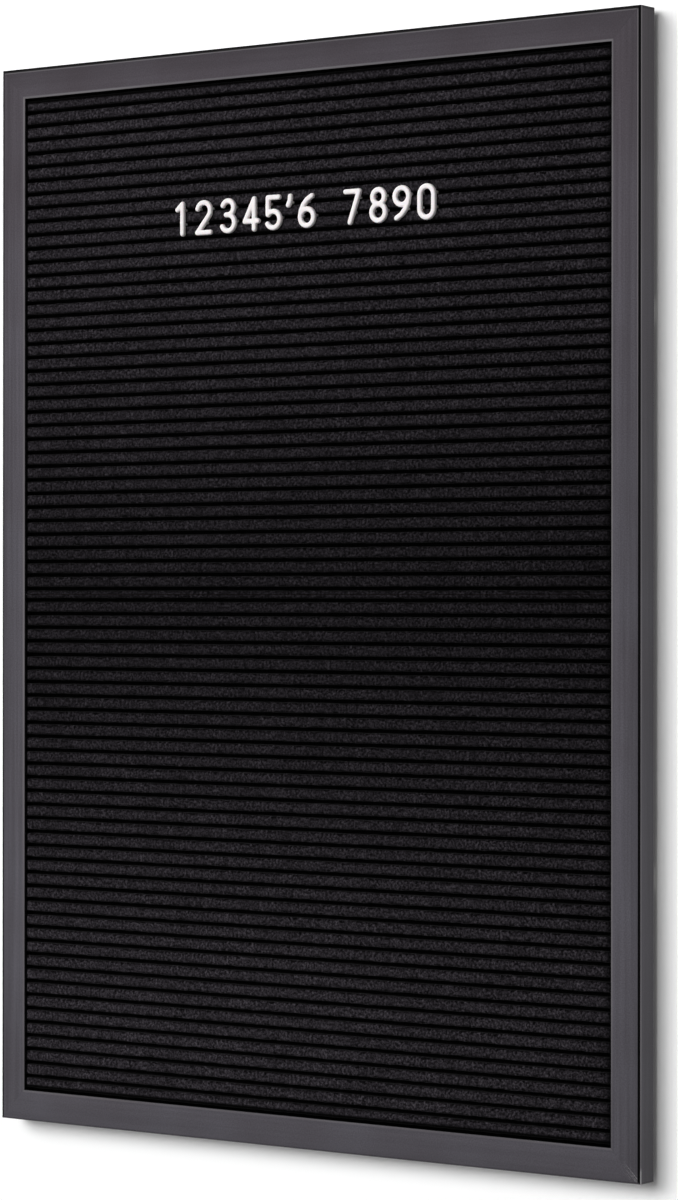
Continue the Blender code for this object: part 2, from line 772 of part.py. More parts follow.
FRAME = material("graphite_aluminium", (0.082, 0.078, 0.086), 0.42, 0.6)
FELT = material("black_felt", (0.016, 0.015, 0.017), 0.95)
FIGURE_PLASTIC = material("white_plastic", (0.82, 0.81, 0.79), 0.35)
HARDBOARD = material("brown_hardboard", (0.19, 0.11, 0.06), 0.8)
KEY_METAL = material("cast_aluminium", (0.45, 0.45, 0.46), 0.5, 0.9)
STEEL = material("zinc_plated_steel", (0.62, 0.62, 0.6), 0.32, 1.0)
RUBBER = material("grey_rubber", (0.05, 0.05, 0.05), 0.7)
CUTTER = material("cutter", (1, 0, 0), 1)

for side_name in SIDES:
    make_rail(side_name)

pan_head = screw_mesh(SCREW_LENGTH)
for up_name, up_sign in (("top", 1), ("bottom", -1)):
    for right_name, right_sign in (("left", -1), ("right", 1)):
        key_name = f"corner_key_{up_name}_{right_name}"
        key_screws = make_corner_key(key_name, right_sign, up_sign)
        for number, screw_place in enumerate(key_screws, 1):
            add_screw(f"corner_screw_{up_name}_{right_name}_{number}", pan_head, screw_place, FRAME_DEPTH)

make_felt_panel("felt_panel_upper", 1)
make_felt_panel("felt_panel_lower", -1)
make_backing_board()

for side_name, clip_place in CLIP_PLACES.items():
    for number, clip_along in enumerate((-clip_place, clip_place), 1):
        make_clip(f"clip_{side_name}_{number}", side_name, clip_along, pan_head)

make_hanger(pan_head)
make_bumper("bumper_left", -1)
make_bumper("bumper_right", 1)

all_strokes = figure_strokes()
for glyph, glyph_x in FIGURE_ROW:
    figure_name = "apostrophe" if glyph == "'" else f"figure_{glyph}"
    make_figure(figure_name, all_strokes[glyph], glyph_x)
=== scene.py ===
# %% [markdown]
# # A letter board on a white wall
#
# A letter board is a shallow tray of metal rails with black grooved felt in it. White plastic figures have
# pegs on their backs, and the pegs push into the grooves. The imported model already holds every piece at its
# real size, so this script gives each one its surface: rounded edges where a hand would feel them, felt that
# is a little uneven, and a finish for every material.
#
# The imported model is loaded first. Everything is in metres, with +Z up, +X to the right and the wall at +Y.

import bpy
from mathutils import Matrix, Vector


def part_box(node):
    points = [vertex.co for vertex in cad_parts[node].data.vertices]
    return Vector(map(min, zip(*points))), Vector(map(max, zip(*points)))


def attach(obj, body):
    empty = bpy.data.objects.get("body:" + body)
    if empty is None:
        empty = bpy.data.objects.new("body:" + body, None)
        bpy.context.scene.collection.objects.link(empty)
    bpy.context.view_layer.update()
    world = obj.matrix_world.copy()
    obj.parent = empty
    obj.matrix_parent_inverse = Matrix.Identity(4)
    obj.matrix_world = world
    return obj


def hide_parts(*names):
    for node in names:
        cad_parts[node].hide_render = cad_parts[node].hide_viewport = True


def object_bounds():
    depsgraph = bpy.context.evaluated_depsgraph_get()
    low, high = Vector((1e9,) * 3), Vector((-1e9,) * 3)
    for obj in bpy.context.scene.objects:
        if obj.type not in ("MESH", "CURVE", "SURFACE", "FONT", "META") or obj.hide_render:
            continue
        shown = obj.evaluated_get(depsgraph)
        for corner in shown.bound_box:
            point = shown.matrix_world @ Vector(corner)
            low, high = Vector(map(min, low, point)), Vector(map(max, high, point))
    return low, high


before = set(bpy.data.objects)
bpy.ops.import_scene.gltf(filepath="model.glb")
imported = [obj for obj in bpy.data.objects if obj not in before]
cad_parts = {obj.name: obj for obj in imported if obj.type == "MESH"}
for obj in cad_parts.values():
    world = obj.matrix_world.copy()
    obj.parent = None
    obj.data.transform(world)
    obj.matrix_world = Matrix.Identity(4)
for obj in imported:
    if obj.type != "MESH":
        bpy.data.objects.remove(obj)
packed_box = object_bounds()
print("packed model:", len(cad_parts), "pieces, box", packed_box)

# %% [markdown]
# Blender's own modules do the rest. `bmesh` builds and edits meshes, and `mathutils` brings vectors, turns
# and a repeatable noise. One millimetre gets a name, because sizes like these are easier to read in
# millimetres. So does the distance within which two points count as one.

# %% Modules and the millimetre
import math

import bmesh
import bpy
from mathutils import Matrix, Quaternion, Vector, noise

MM = 0.001
SAME_POINT = 0.01 * MM
print("one millimetre is", MM, "m")

# %% [markdown]
# ## Helpers for meshes
#
# A new piece always takes the same last steps: its normals are made to point outwards, it becomes an object
# with its place in its mesh, it rides with the board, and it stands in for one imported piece. It shades as one
# smooth surface, apart from edges that turn by more than its smooth angle. A small helper does all that, so
# each piece below shows only how its shape is made.

# %% Helper: turn a finished bmesh into a piece of the board
def add_piece(name, shape, finish, node, smooth_angle=35):
    bmesh.ops.recalc_face_normals(shape, faces=shape.faces[:])
    mesh = bpy.data.meshes.new(name)
    shape.to_mesh(mesh)
    shape.free()
    return add_mesh_piece(name, mesh, finish, node, smooth_angle)


def add_mesh_piece(name, mesh, finish, node, smooth_angle=35):
    if not mesh.materials:
        mesh.materials.append(finish)
    mesh.shade_smooth()
    mesh.set_sharp_from_angle(angle=math.radians(smooth_angle))
    piece = bpy.data.objects.new(name, mesh)
    bpy.context.scene.collection.objects.link(piece)
    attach(piece, "root")
    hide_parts(node)
    return piece


def corners_of(node):
    low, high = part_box(node)
    return Vector(low), Vector(high)


def middle(node):
    low, high = corners_of(node)
    return (low + high) / 2


print("the backing board's middle is", middle("backing_board"))

# %% [markdown]
# Some pieces are right as they are packed and only lack worn edges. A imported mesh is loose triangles, so a
# copy is merged, its flat faces are joined again, and a narrow bevel runs along every sharp edge. Real metal
# has no perfect edge, and the bevel is what catches the light. Faces that turn by less than two degrees count
# as one flat face, and an edge counts as sharp from 50 degrees.

# %% Helper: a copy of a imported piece, made ready for a bevel
FLAT_TO = math.radians(2)
SHARP_FROM = math.radians(50)
BEVEL_STEPS = 2


def merged_copy(node):
    shape = bmesh.new()
    shape.from_mesh(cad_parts[node].data)
    bmesh.ops.remove_doubles(shape, verts=shape.verts[:], dist=SAME_POINT)
    bmesh.ops.dissolve_limit(
        shape,
        angle_limit=FLAT_TO,
        verts=shape.verts[:],
        edges=shape.edges[:],
    )
    return shape


def add_bevelled_copy(node, finish, width):
    piece = add_piece(f"{node}_finished", merged_copy(node), finish, node)
    bevel = piece.modifiers.new("worn_edges", "BEVEL")
    bevel.width = width
    bevel.segments = BEVEL_STEPS
    bevel.limit_method = "ANGLE"
    bevel.angle_limit = SHARP_FROM
    return piece


print("merged copies keep the packed size")

# %% [markdown]
# ## Helpers for finishes
#
# Every finish is a Principled shader with noise behind its colour, its roughness and its bump. The noise
# reads Object coordinates, which are metres here, so its scale is one over the size of a blotch: a scale of
# 1000 makes blotches of a millimetre. A Mapping node stretches it where a finish has a direction.
#
# Noise runs from 0 to 1 but seldom leaves the range from 0.3 to 0.7. Ramps and spreads on noise use that
# range, or most of their colours would never show.

# %% Helper: a material and the patterns it is made from
NOISE_LOW, NOISE_HIGH = 0.3, 0.7


class Patterns:
    """A material under construction: its nodes, its links and values that change from place to place."""

    def __init__(self, name):
        self.material = bpy.data.materials.new(name)
        self.material.use_nodes = True
        self.nodes = self.material.node_tree.nodes
        self.links = self.material.node_tree.links
        self.place = self.nodes.new("ShaderNodeTexCoord").outputs["Object"]

    def noise(self, blotch, detail=2.0, stretch=(1, 1, 1), rough=0.5):
        """Noise with blotches of a given size in metres, from 0 to 1."""
        mapping = self.nodes.new("ShaderNodeMapping")
        mapping.inputs["Scale"].default_value = stretch
        self.links.new(self.place, mapping.inputs["Vector"])
        texture = self.nodes.new("ShaderNodeTexNoise")
        texture.inputs["Scale"].default_value = 1 / blotch
        texture.inputs["Detail"].default_value = detail
        texture.inputs["Roughness"].default_value = rough
        self.links.new(mapping.outputs["Vector"], texture.inputs["Vector"])
        return texture.outputs["Fac"]

    def streaks(self, value, width):
        """Noise along one value only, which draws lines where that value stays the same."""
        texture = self.nodes.new("ShaderNodeTexNoise")
        texture.noise_dimensions = "1D"
        texture.inputs["Scale"].default_value = 1 / width
        self.links.new(value, texture.inputs["W"])
        return texture.outputs["Fac"]

    def axis(self, letter):
        """The distance from the middle of the board along one axis, in metres."""
        parts = self.nodes.new("ShaderNodeSeparateXYZ")
        self.links.new(self.place, parts.inputs["Vector"])
        return parts.outputs[letter]


print("noise mostly lies between", NOISE_LOW, "and", NOISE_HIGH)

# %% [markdown]
# Patterns are worth little until they are measured against each other. A Map Range node moves a value into
# another range, and it is the one used most: it turns a distance into a factor. Math nodes multiply such
# factors or take the larger one, so that a finish can say "on this edge, and near this corner".

# %% Helper: sums on patterns
class Sums(Patterns):
    """Patterns with the sums that join them."""

    def spread(self, value, low, high, start=0.0, end=1.0):
        """Moves a value from start..end to low..high, and stops at both ends."""
        node = self.nodes.new("ShaderNodeMapRange")
        node.inputs["From Min"].default_value = start
        node.inputs["From Max"].default_value = end
        node.inputs["To Min"].default_value = low
        node.inputs["To Max"].default_value = high
        self.links.new(value, node.inputs["Value"])
        return node.outputs["Result"]

    def math(self, operation, first, second=None):
        """One sum on two values, each a number or the output of another node."""
        node = self.nodes.new("ShaderNodeMath")
        node.operation = operation
        for socket, value in zip(node.inputs, (first, second)):
            if isinstance(value, float):
                socket.default_value = value
            elif value is not None:
                self.links.new(value, socket)
        return node.outputs["Value"]

    def together(self, operation, first, *others):
        """One sum on any number of values, such as their product or the largest of them."""
        for other in others:
            first = self.math(operation, first, other)
        return first


print("sums: spread, math and together")

# %% [markdown]
# A finish then needs colours. A Color Ramp turns noise into shades, a Mix node lays one colour over another,
# and a Vector Math node set to SCALE makes a colour darker or brighter. Last come the shader's own sockets,
# and the bump, which tilts the light without moving the surface.

# %% Helper: a finish, from its colours to its shader
class Finish(Sums):
    """Sums with colours, a Principled shader and its bump."""

    def __init__(self, name, **shader_values):
        super().__init__(name)
        self.shader = self.nodes["Principled BSDF"]
        for socket, value in shader_values.items():
            self.shader.inputs[socket.replace("_", " ")].default_value = value

    def ramp(self, value, *stops):
        """Turns a value into a colour, through stops of (position, (red, green, blue))."""
        node = self.nodes.new("ShaderNodeValToRGB")
        stop_list = node.color_ramp.elements
        while len(stop_list) < len(stops):
            stop_list.new(0.5)
        for stop, (position, colour) in zip(stop_list, stops):
            stop.position = position
            stop.color = (*colour, 1)
        self.links.new(value, node.inputs["Fac"])
        return node.outputs["Color"]

    def blend(self, first, second, share, kind="MIX"):
        """Mixes two colours. share is a number, or the output of another node."""
        node = self.nodes.new("ShaderNodeMix")
        node.data_type = "RGBA"
        node.blend_type = kind
        if isinstance(share, float):
            node.inputs["Factor"].default_value = share
        else:
            self.links.new(share, node.inputs["Factor"])
        self.links.new(first, node.inputs["A"])
        self.links.new(second, node.inputs["B"])
        return node.outputs["Result"]

    def cover(self, under, colour, share):
        """Lays one plain colour over what lies under it, by a share that changes from place to place."""
        return self.blend(under, self.ramp(share, (0, colour), (1, colour)), share)

    def scaled(self, colour, *factors):
        """Makes a colour darker or brighter by factors that change from place to place."""
        for factor in factors:
            node = self.nodes.new("ShaderNodeVectorMath")
            node.operation = "SCALE"
            self.links.new(colour, node.inputs[0])
            self.links.new(factor, node.inputs["Scale"])
            colour = node.outputs["Vector"]
        return colour

    def colour(self, output):
        self.links.new(output, self.shader.inputs["Base Color"])

    def roughness(self, output):
        self.links.new(output, self.shader.inputs["Roughness"])

    def bump(self, height, depth, strength=1.0):
        """Adds a bump of a given depth in metres, on top of any bump made before."""
        node = self.nodes.new("ShaderNodeBump")
        node.inputs["Distance"].default_value = depth
        node.inputs["Strength"].default_value = strength
        self.links.new(height, node.inputs["Height"])
        earlier = self.shader.inputs["Normal"].links
        if earlier:
            self.links.new(earlier[0].from_socket, node.inputs["Normal"])
        self.links.new(node.outputs["Normal"], self.shader.inputs["Normal"])


print("finishes read Object coordinates")

# %% [markdown]
# ## Graphite rails
#
# The rails are aluminium extrusions with a satin graphite coat. The die leaves faint lines along the length,
# the coat has a very fine grain, and its grey is not quite even. The rails' sizes are read from the packed
# rails, so that every line that the finish draws lies along a real edge.

# %% Rail sizes
top_low, top_high = corners_of("frame_top")
FRONT = top_low.y
RAIL_DEPTH = top_high.y - top_low.y
RAIL_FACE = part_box("frame_bottom")[1][2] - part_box("frame_bottom")[0][2]
HALF_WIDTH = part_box("frame_right")[1][0]
HALF_HEIGHT = top_high.z
print(f"rail face {RAIL_FACE / MM:.1f} mm, depth {RAIL_DEPTH / MM:.1f} mm")
print(f"board {HALF_WIDTH * 2 / MM:.1f} by {HALF_HEIGHT * 2 / MM:.1f} mm")

# %% [markdown]
# The die lines run along X on the level rails and along Z on the upright ones, so the coat is made twice with
# its stretch turned. Both kinds need the same few places: how far a point lies from the middle of the board
# across the rail, how far behind the front, how high and how far to the side. A finish of its own holds them.

# %% Helper: graphite, with the places on a rail
DIE_LINE = 2 * MM
MOTTLE = 0.8 * MM


class Graphite(Finish):
    """across is the letter of the axis over the rail, and outside is where the rail ends on that axis."""

    def __init__(self, name, across, outside, stretch):
        super().__init__(name, Metallic=0.7, Specular_IOR_Level=0.3)
        self.outside = outside
        self.lip_edge = outside - RAIL_FACE
        self.reach = self.math("ABSOLUTE", self.axis(across))
        self.sideways = self.axis("X")
        self.behind = self.axis("Y")
        self.height = self.axis("Z")
        self.die_lines = self.noise(DIE_LINE, detail=4, stretch=stretch)
        self.mottle = self.noise(MOTTLE, detail=3, rough=0.7)


print("die lines every", DIE_LINE / MM, "mm or so")

# %% [markdown]
# The coat is a grey between two shades, multiplied by factors near 1. A `spread` along an axis is such a
# factor, and beyond its ends it stays as it is there. Away from the lip the grey grows slowly darker, and on
# the side it goes on doing so towards the back, both as painted shade. It is a little warmer near the top of
# the board, and a little paler at its foot, as painted light. The rails are also darker towards both ends of
# the board, to the right and on the top rail, as painted shade. The topmost and the lowest millimetre are dark,
# as painted shade on rounded edges.

# %% Helper: the coat, with painted light and shade
GRAPHITE_DARK = (0.073, 0.065, 0.074)
GRAPHITE_PALE = (0.0895, 0.0833, 0.0955)
WARM, COOL = (0.985, 0.937, 0.965), (0.955, 0.975, 1.0)
COOL_UP_TO = 0.55
CLOUD = 60 * MM
LIP_BAND = (1.8 * MM, 2.8 * MM)
TOP_RIM = (1.8 * MM, 1.0 * MM)
FOOT_RIM = (0.9 * MM, 1.2 * MM)
FOOT_LIGHT = 12 * MM


def coat_with_painted_light_and_shade(coat, line_depth, tilt):
    """line_depth is how much the die lines darken the grey, and tilt makes the lower rail the paler one, as
    painted light.
    """
    clouds = coat.noise(CLOUD, detail=3)
    grey = coat.ramp(clouds, (NOISE_LOW, GRAPHITE_DARK), (NOISE_HIGH, GRAPHITE_PALE))
    upward = coat.spread(coat.height, 0.0, 1.0, -HALF_HEIGHT, HALF_HEIGHT)
    grey = coat.blend(grey, coat.ramp(upward, (COOL_UP_TO, COOL), (1, WARM)), 1.0, "MULTIPLY")
    inner, outer = (coat.lip_edge + distance for distance in LIP_BAND)
    from_middle = coat.math("ABSOLUTE", coat.height)
    return coat.scaled(
        grey,
        # the die lines and the mottle
        coat.spread(coat.die_lines, 1 - line_depth, 1 + line_depth, NOISE_LOW, NOISE_HIGH),
        coat.spread(coat.mottle, 0.80, 1.20, NOISE_LOW, NOISE_HIGH),
        # painted light and shade from the lip outwards, and painted shade from the front to the back
        coat.spread(coat.reach, 1.10, 0.82, coat.lip_edge, coat.outside),
        coat.spread(coat.reach, 0.93, 1.0, inner, outer),
        coat.spread(coat.behind, 1.0, 0.66, FRONT + 2 * MM, FRONT + RAIL_DEPTH),
        # painted shade towards both ends of the board and on its top edge, painted light and shade at its foot
        coat.spread(from_middle, 1.0, 0.87, 0.65 * HALF_HEIGHT, HALF_HEIGHT),
        coat.spread(coat.height, 1.0, 0.35, HALF_HEIGHT - TOP_RIM[0], HALF_HEIGHT - TOP_RIM[1]),
        coat.spread(coat.height, 1.10, 1.0, -HALF_HEIGHT, FOOT_LIGHT - HALF_HEIGHT),
        coat.spread(coat.height, 0.75, 1.0, FOOT_RIM[0] - HALF_HEIGHT, FOOT_RIM[1] - HALF_HEIGHT),
        # painted shade from left to right, and from the bottom rail to the top one
        coat.spread(coat.sideways, 1.0, 0.91, -HALF_WIDTH, HALF_WIDTH),
        coat.spread(upward, 1 + tilt, 1 - tilt),
    )


print("the plain grey lies between", GRAPHITE_DARK, "and", GRAPHITE_PALE)

# %% [markdown]
# Three thin paler lines are painted highlights, where rounded edges catch the light. One is the rounded edge
# of the lip, and it is stronger near the top. One is the front edge of the side face. The last runs close to
# the outer edge of the front face, in the upper half only. Each line is a product of factors that are 1 on the
# line and 0 away from it.

# %% Helper: the painted highlight lines along the rail's edges
GRAPHITE_HIGHLIGHT = (0.155, 0.146, 0.155)
LIP_LINE = (0.9 * MM, 1.5 * MM)
SIDE_LINE_STARTS = (0.5 * MM, 0.8 * MM)
SIDE_LINE_ENDS = (1.8 * MM, 2.6 * MM)
OUTERMOST = (0.25 * MM, 0.1 * MM)
OUTER_LINE = {"Z": 2.6 * MM, "X": 1.9 * MM}
OUTER_LINE_FADE = 0.6 * MM


def side_line(coat):
    """The line along the front edge of the side face."""
    return coat.together(
        "MULTIPLY",
        coat.spread(coat.behind, 0.0, 1.0, *(FRONT + depth for depth in SIDE_LINE_STARTS)),
        coat.spread(coat.behind, 1.0, 0.0, *(FRONT + depth for depth in SIDE_LINE_ENDS)),
        coat.spread(coat.reach, 0.0, 1.0, *(coat.outside - depth for depth in OUTERMOST)),
    )


def painted_highlight_lines(coat, side, starts):
    """side is the side face's line, and starts is where the line on the front face begins."""
    lip = coat.together(
        "MULTIPLY",
        coat.spread(coat.reach, 1.0, 0.0, *(coat.lip_edge + distance for distance in LIP_LINE)),
        coat.spread(coat.height, 0.35, 1.0, -HALF_HEIGHT, 0.0),
    )
    outer = coat.together(
        "MULTIPLY",
        coat.spread(coat.reach, 0.0, 0.9, starts, starts + OUTER_LINE_FADE),
        coat.spread(coat.height, 0.0, 1.0, 0.0, 0.7 * HALF_HEIGHT),
        coat.spread(coat.behind, 1.0, 0.0, FRONT, FRONT + 0.5 * MM),
    )
    lines = coat.together("MAXIMUM", lip, side, outer)
    return coat.math("MULTIPLY", lines, coat.spread(coat.die_lines, 0.55, 1.0, 0.35, 0.6))


print("the lip's line fades over", LIP_LINE[0] / MM, "to", LIP_LINE[1] / MM, "mm")

# %% [markdown]
# The front face ends in a thin black rim of painted shade at the left and at the top of the board. It is laid
# over the painted highlight lines, and the side faces keep their grey.

# %% Helper: the rim of painted shade on the front face
LEFT_RIM = (1.8 * MM, 2.2 * MM)
UPPER_RIM = (2.0 * MM, 1.6 * MM)
RIM_DEPTH = (0.3 * MM, 0.6 * MM)


def painted_shade_rim(coat):
    from_left = coat.spread(coat.sideways, 0.08, 1.0, *(inward - HALF_WIDTH for inward in LEFT_RIM))
    from_top = coat.spread(coat.height, 1.0, 0.05, *(HALF_HEIGHT - inward for inward in UPPER_RIM))
    on_side = coat.spread(coat.behind, 0.0, 1.0, *(FRONT + depth for depth in RIM_DEPTH))
    return coat.math("MAXIMUM", coat.math("MINIMUM", from_left, from_top), on_side)


print("the rim is about", LEFT_RIM[0] / MM, "mm wide")

# %% [markdown]
# The lower right corner is the worn one, as where a board is stood down on one corner. A few scratches run
# along its mitre, and bare metal shows on the side's edge. X minus Z grows towards that corner, and X plus Z
# stays the same along the mitre, so noise on that sum alone draws lines that run with it.

# %% Helper: bare metal at the lower right corner
BARE_METAL = (0.44, 0.43, 0.44)
CORNER = HALF_WIDTH + HALF_HEIGHT
SCRATCH_SPACING = 1.1 * MM
SCRATCHED = (22 * MM, 8 * MM)
MITRE_BAND = (2 * MM, 4 * MM)
BARE_EDGE = (9 * MM, 6 * MM)


def bare_metal(coat, side):
    """side is the side face's line, on which the metal shows for a few millimetres."""
    to_corner = coat.math("SUBTRACT", coat.sideways, coat.height)
    across_mitre = coat.math("ADD", coat.sideways, coat.height)
    off_mitre = coat.math("ABSOLUTE", coat.math("ADD", across_mitre, HALF_HEIGHT - HALF_WIDTH))
    scratches = coat.together(
        "MULTIPLY",
        coat.spread(coat.streaks(across_mitre, SCRATCH_SPACING), 0.0, 0.4, 0.50, 0.60),
        coat.spread(coat.behind, 1.0, 0.0, FRONT + 0.2 * MM, FRONT + 0.5 * MM),
        coat.spread(to_corner, 0.0, 1.0, *(CORNER - distance for distance in SCRATCHED)),
        coat.spread(off_mitre, 1.0, 0.0, *MITRE_BAND),
        coat.spread(coat.mottle, 0.1, 1.0, 0.45, 0.55),
    )
    edge = coat.spread(to_corner, 0.0, 0.6, *(CORNER - distance for distance in BARE_EDGE))
    return coat.math("MAXIMUM", scratches, coat.math("MULTIPLY", side, edge))


print("scratches lie within", SCRATCHED[0] / MM, "mm of the corner")

# %% [markdown]
# The layers come together in the order in which they lie: the grey, the painted highlight lines, the rim of
# painted shade, and the bare metal on top. Roughness follows the die lines, and two shallow bumps give the grain
# and the lines.

# %% Finish: graphite on the level and on the upright rails
GRAIN = 0.16 * MM


def graphite(name, across, outside, stretch, line_depth, tilt):
    coat = Graphite(name, across, outside, stretch)
    side = side_line(coat)
    grey = coat_with_painted_light_and_shade(coat, line_depth, tilt)
    # painted highlights first, then the rim of painted shade, then bare metal from wear
    coated = coat.cover(grey, GRAPHITE_HIGHLIGHT, painted_highlight_lines(coat, side, outside - OUTER_LINE[across]))
    coated = coat.scaled(coated, painted_shade_rim(coat))
    coat.colour(coat.cover(coated, BARE_METAL, bare_metal(coat, side)))
    coat.roughness(coat.spread(coat.die_lines, 0.38, 0.50))
    coat.bump(coat.noise(GRAIN, detail=1), 0.010 * MM)
    coat.bump(coat.die_lines, 0.006 * MM)
    return coat.material


LEVEL = graphite("graphite_level", "Z", HALF_HEIGHT, (0.02, 1, 1), line_depth=0.07, tilt=0.07)
UPRIGHT = graphite("graphite_upright", "X", HALF_WIDTH, (1, 1, 0.02), line_depth=0.15, tilt=0.0)
GRAPHITE = {"top": LEVEL, "right": UPRIGHT, "bottom": LEVEL, "left": UPRIGHT}
print("two coats, one for each direction of the die lines")

# %% [markdown]
# Along the outer front edge runs a narrow rebate. Its faces and the lip's inner side are painted black, as
# painted shade for the shade that falls into the rebate and under the lip. Both read as thin black lines. Only
# the bottom rail has its coat on the rebate's floor too. One more finish takes the black faces.

# %% Finish: the black lines of painted shade
painted_shade_black = Finish("painted_shade_black", Roughness=0.8, Specular_IOR_Level=0.1)
# a faint mottle in the black of painted shade
shade_speckle = painted_shade_black.noise(1.5 * MM, detail=3)
BLACKEST, BLACK = (0.0016, 0.0015, 0.0017), (0.004, 0.0038, 0.0042)
painted_shade_black.colour(painted_shade_black.ramp(shade_speckle, (NOISE_LOW, BLACKEST), (NOISE_HIGH, BLACK)))
painted_shade_black.bump(shade_speckle, 0.02 * MM)
print("a black finish for the rebate")

# %% [markdown]
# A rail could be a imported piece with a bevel, but its section deserves finer rounding: the thin lip over the
# felt is rounded on its front edge, and a narrow rebate runs round the outer front edge and reads as a black
# line. So the section is drawn once as a flat face, `bevel` rounds its corners, and the face's rim is pulled
# out along X. The section's points are (distance in from the outer face, depth behind the front).

# %% Sizes of the section
LIP_REACH = 5.4 * MM
PANEL_PLAY = 0.5 * MM
TUBE = RAIL_FACE - LIP_REACH - PANEL_PLAY
WALL = 1.3 * MM
LIP = 1.6 * MM
LINE = 1.0 * MM
MITRE_GAP = 0.05 * MM
REBATE_ROUND = 0.15 * MM
LIP_ROUND, LIP_BACK_ROUND = 0.6 * MM, 0.25 * MM
BACK_ROUND = 0.8 * MM
ROUND_STEPS = 5
print(f"tube {TUBE / MM:.1f} mm wide")

# %% [markdown]
# `bevel` with affect VERTICES rounds the corners of a flat face. Each corner has its own radius, so the
# corners are rounded one at a time. The tube's hollow is a second face. Once both are drawn, only their edges
# are kept, because those are what gets pulled out.

# %% Helper: the rail's section as rims of edges
def rail_section(shape):
    corners = (
        ((LINE, LINE), 0),
        ((LINE, 0), REBATE_ROUND),
        ((RAIL_FACE, 0), LIP_ROUND),
        ((RAIL_FACE, LIP), LIP_BACK_ROUND),
        ((TUBE, LIP), 0),
        ((TUBE, RAIL_DEPTH), BACK_ROUND),
        ((0, RAIL_DEPTH), BACK_ROUND),
        ((0, LINE), REBATE_ROUND),
    )
    verts = [shape.verts.new((0, depth, -inward)) for (inward, depth), _ in corners]
    shape.faces.new(verts)
    for vert, (_, radius) in zip(verts, corners):
        if radius:
            bmesh.ops.bevel(
                shape,
                geom=[vert],
                offset=radius,
                offset_type="OFFSET",
                segments=ROUND_STEPS,
                profile=0.5,
                affect="VERTICES",
                material=-1,
            )
    hollow = ((WALL, LIP), (TUBE - WALL, LIP), (TUBE - WALL, RAIL_DEPTH - WALL), (WALL, RAIL_DEPTH - WALL))
    shape.faces.new([shape.verts.new((0, depth, -inward)) for inward, depth in hollow])
    bmesh.ops.delete(shape, geom=shape.faces[:], context="FACES_ONLY")


print("the section has a tube, a lip and a rebate")

# %% [markdown]
# The rims are pulled out to the rail's full length. `bisect_plane` then saws both ends at 45 degrees and
# throws the offcuts away, and the open ends are filled. Every rail is made as a top rail and turned about Y
# to its own side, which keeps the four corners alike.

# %% Helper: one rail, sawn to its mitres
def sawn_rail(length):
    shape = bmesh.new()
    rail_section(shape)
    bmesh.ops.translate(shape, vec=(-length / 2, 0, 0), verts=shape.verts[:])
    pulled = bmesh.ops.extrude_edge_only(shape, edges=shape.edges[:])["geom"]
    moved = [v for v in pulled if isinstance(v, bmesh.types.BMVert)]
    bmesh.ops.translate(shape, vec=(length, 0, 0), verts=moved)
    for end in (-1, 1):
        bmesh.ops.bisect_plane(
            shape,
            geom=shape.verts[:] + shape.edges[:] + shape.faces[:],
            dist=SAME_POINT / 10,
            plane_co=(end * (length / 2 - MITRE_GAP / math.sqrt(2)), 0, 0),
            plane_no=(end, 0, -1),
            clear_outer=True,
        )
        open_rim = [e for e in shape.edges if e.is_boundary and e.verts[0].co.x * end > 0]
        bmesh.ops.triangle_fill(shape, edges=open_rim, use_beauty=True, normal=(end, 0, -1))
    return shape


print("the saw cuts at", 45, "degrees")

# %% [markdown]
# The holes for the screws go through the back wall of the tube. A Boolean cuts them, with a cutter that is
# removed once the cut is applied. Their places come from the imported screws, so no number is repeated.

# %% Helper: cut round holes along Y and keep the result as a plain mesh
SCREW_HOLE_RADIUS = 1.7 * MM
HOLE_SIDES = 24
ON_ITS_SIDE = Matrix.Rotation(math.pi / 2, 3, "X")


def drill(shape, places, low, high):
    cutter = bmesh.new()
    for x, z in places:
        made = bmesh.ops.create_cone(
            cutter,
            cap_ends=True,
            segments=HOLE_SIDES,
            radius1=SCREW_HOLE_RADIUS,
            radius2=SCREW_HOLE_RADIUS,
            depth=high - low,
        )["verts"]
        bmesh.ops.rotate(cutter, cent=(0, 0, 0), matrix=ON_ITS_SIDE, verts=made)
        bmesh.ops.translate(cutter, vec=(x, (low + high) / 2, z), verts=made)
    return carve(shape, cutter)


def carve(shape, cutter):
    """Takes the cutter's shape away from a shape, and returns the result as a mesh."""
    helpers = []
    for name, part in (("blank", shape), ("cutter", cutter)):
        bmesh.ops.recalc_face_normals(part, faces=part.faces[:])
        mesh = bpy.data.meshes.new(name)
        part.to_mesh(mesh)
        part.free()
        helpers.append(bpy.data.objects.new(name, mesh))
        bpy.context.scene.collection.objects.link(helpers[-1])
    cut = helpers[0].modifiers.new("cut", "BOOLEAN")
    cut.operation = "DIFFERENCE"
    cut.use_self = True
    cut.object = helpers[1]
    graph = bpy.context.evaluated_depsgraph_get()
    result = bpy.data.meshes.new_from_object(helpers[0].evaluated_get(graph))
    result.materials.clear()
    for helper in helpers:
        bpy.data.objects.remove(helper)
    return result


screw_nodes = [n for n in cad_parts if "screw" in n]
print("screws to fit:", len(screw_nodes))

# %% [markdown]
# Each side has a turn about Y and a reach from the middle of the board. The screws that lie over the rail's
# own node are the ones whose holes it needs.

# %% Helper: a rail's turn, reach and length, and its screws
TURNS = {
    "top": (0, HALF_HEIGHT, 2 * HALF_WIDTH),
    "right": (90, HALF_WIDTH, 2 * HALF_HEIGHT),
    "bottom": (180, HALF_HEIGHT, 2 * HALF_WIDTH),
    "left": (-90, HALF_WIDTH, 2 * HALF_HEIGHT),
}


def screws_over(node):
    low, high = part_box(node)
    places = [middle(n) for n in screw_nodes]
    return [(p.x, p.z) for p in places if low[0] < p.x < high[0] and low[2] < p.z < high[2]]


print("rails:", ", ".join(TURNS))

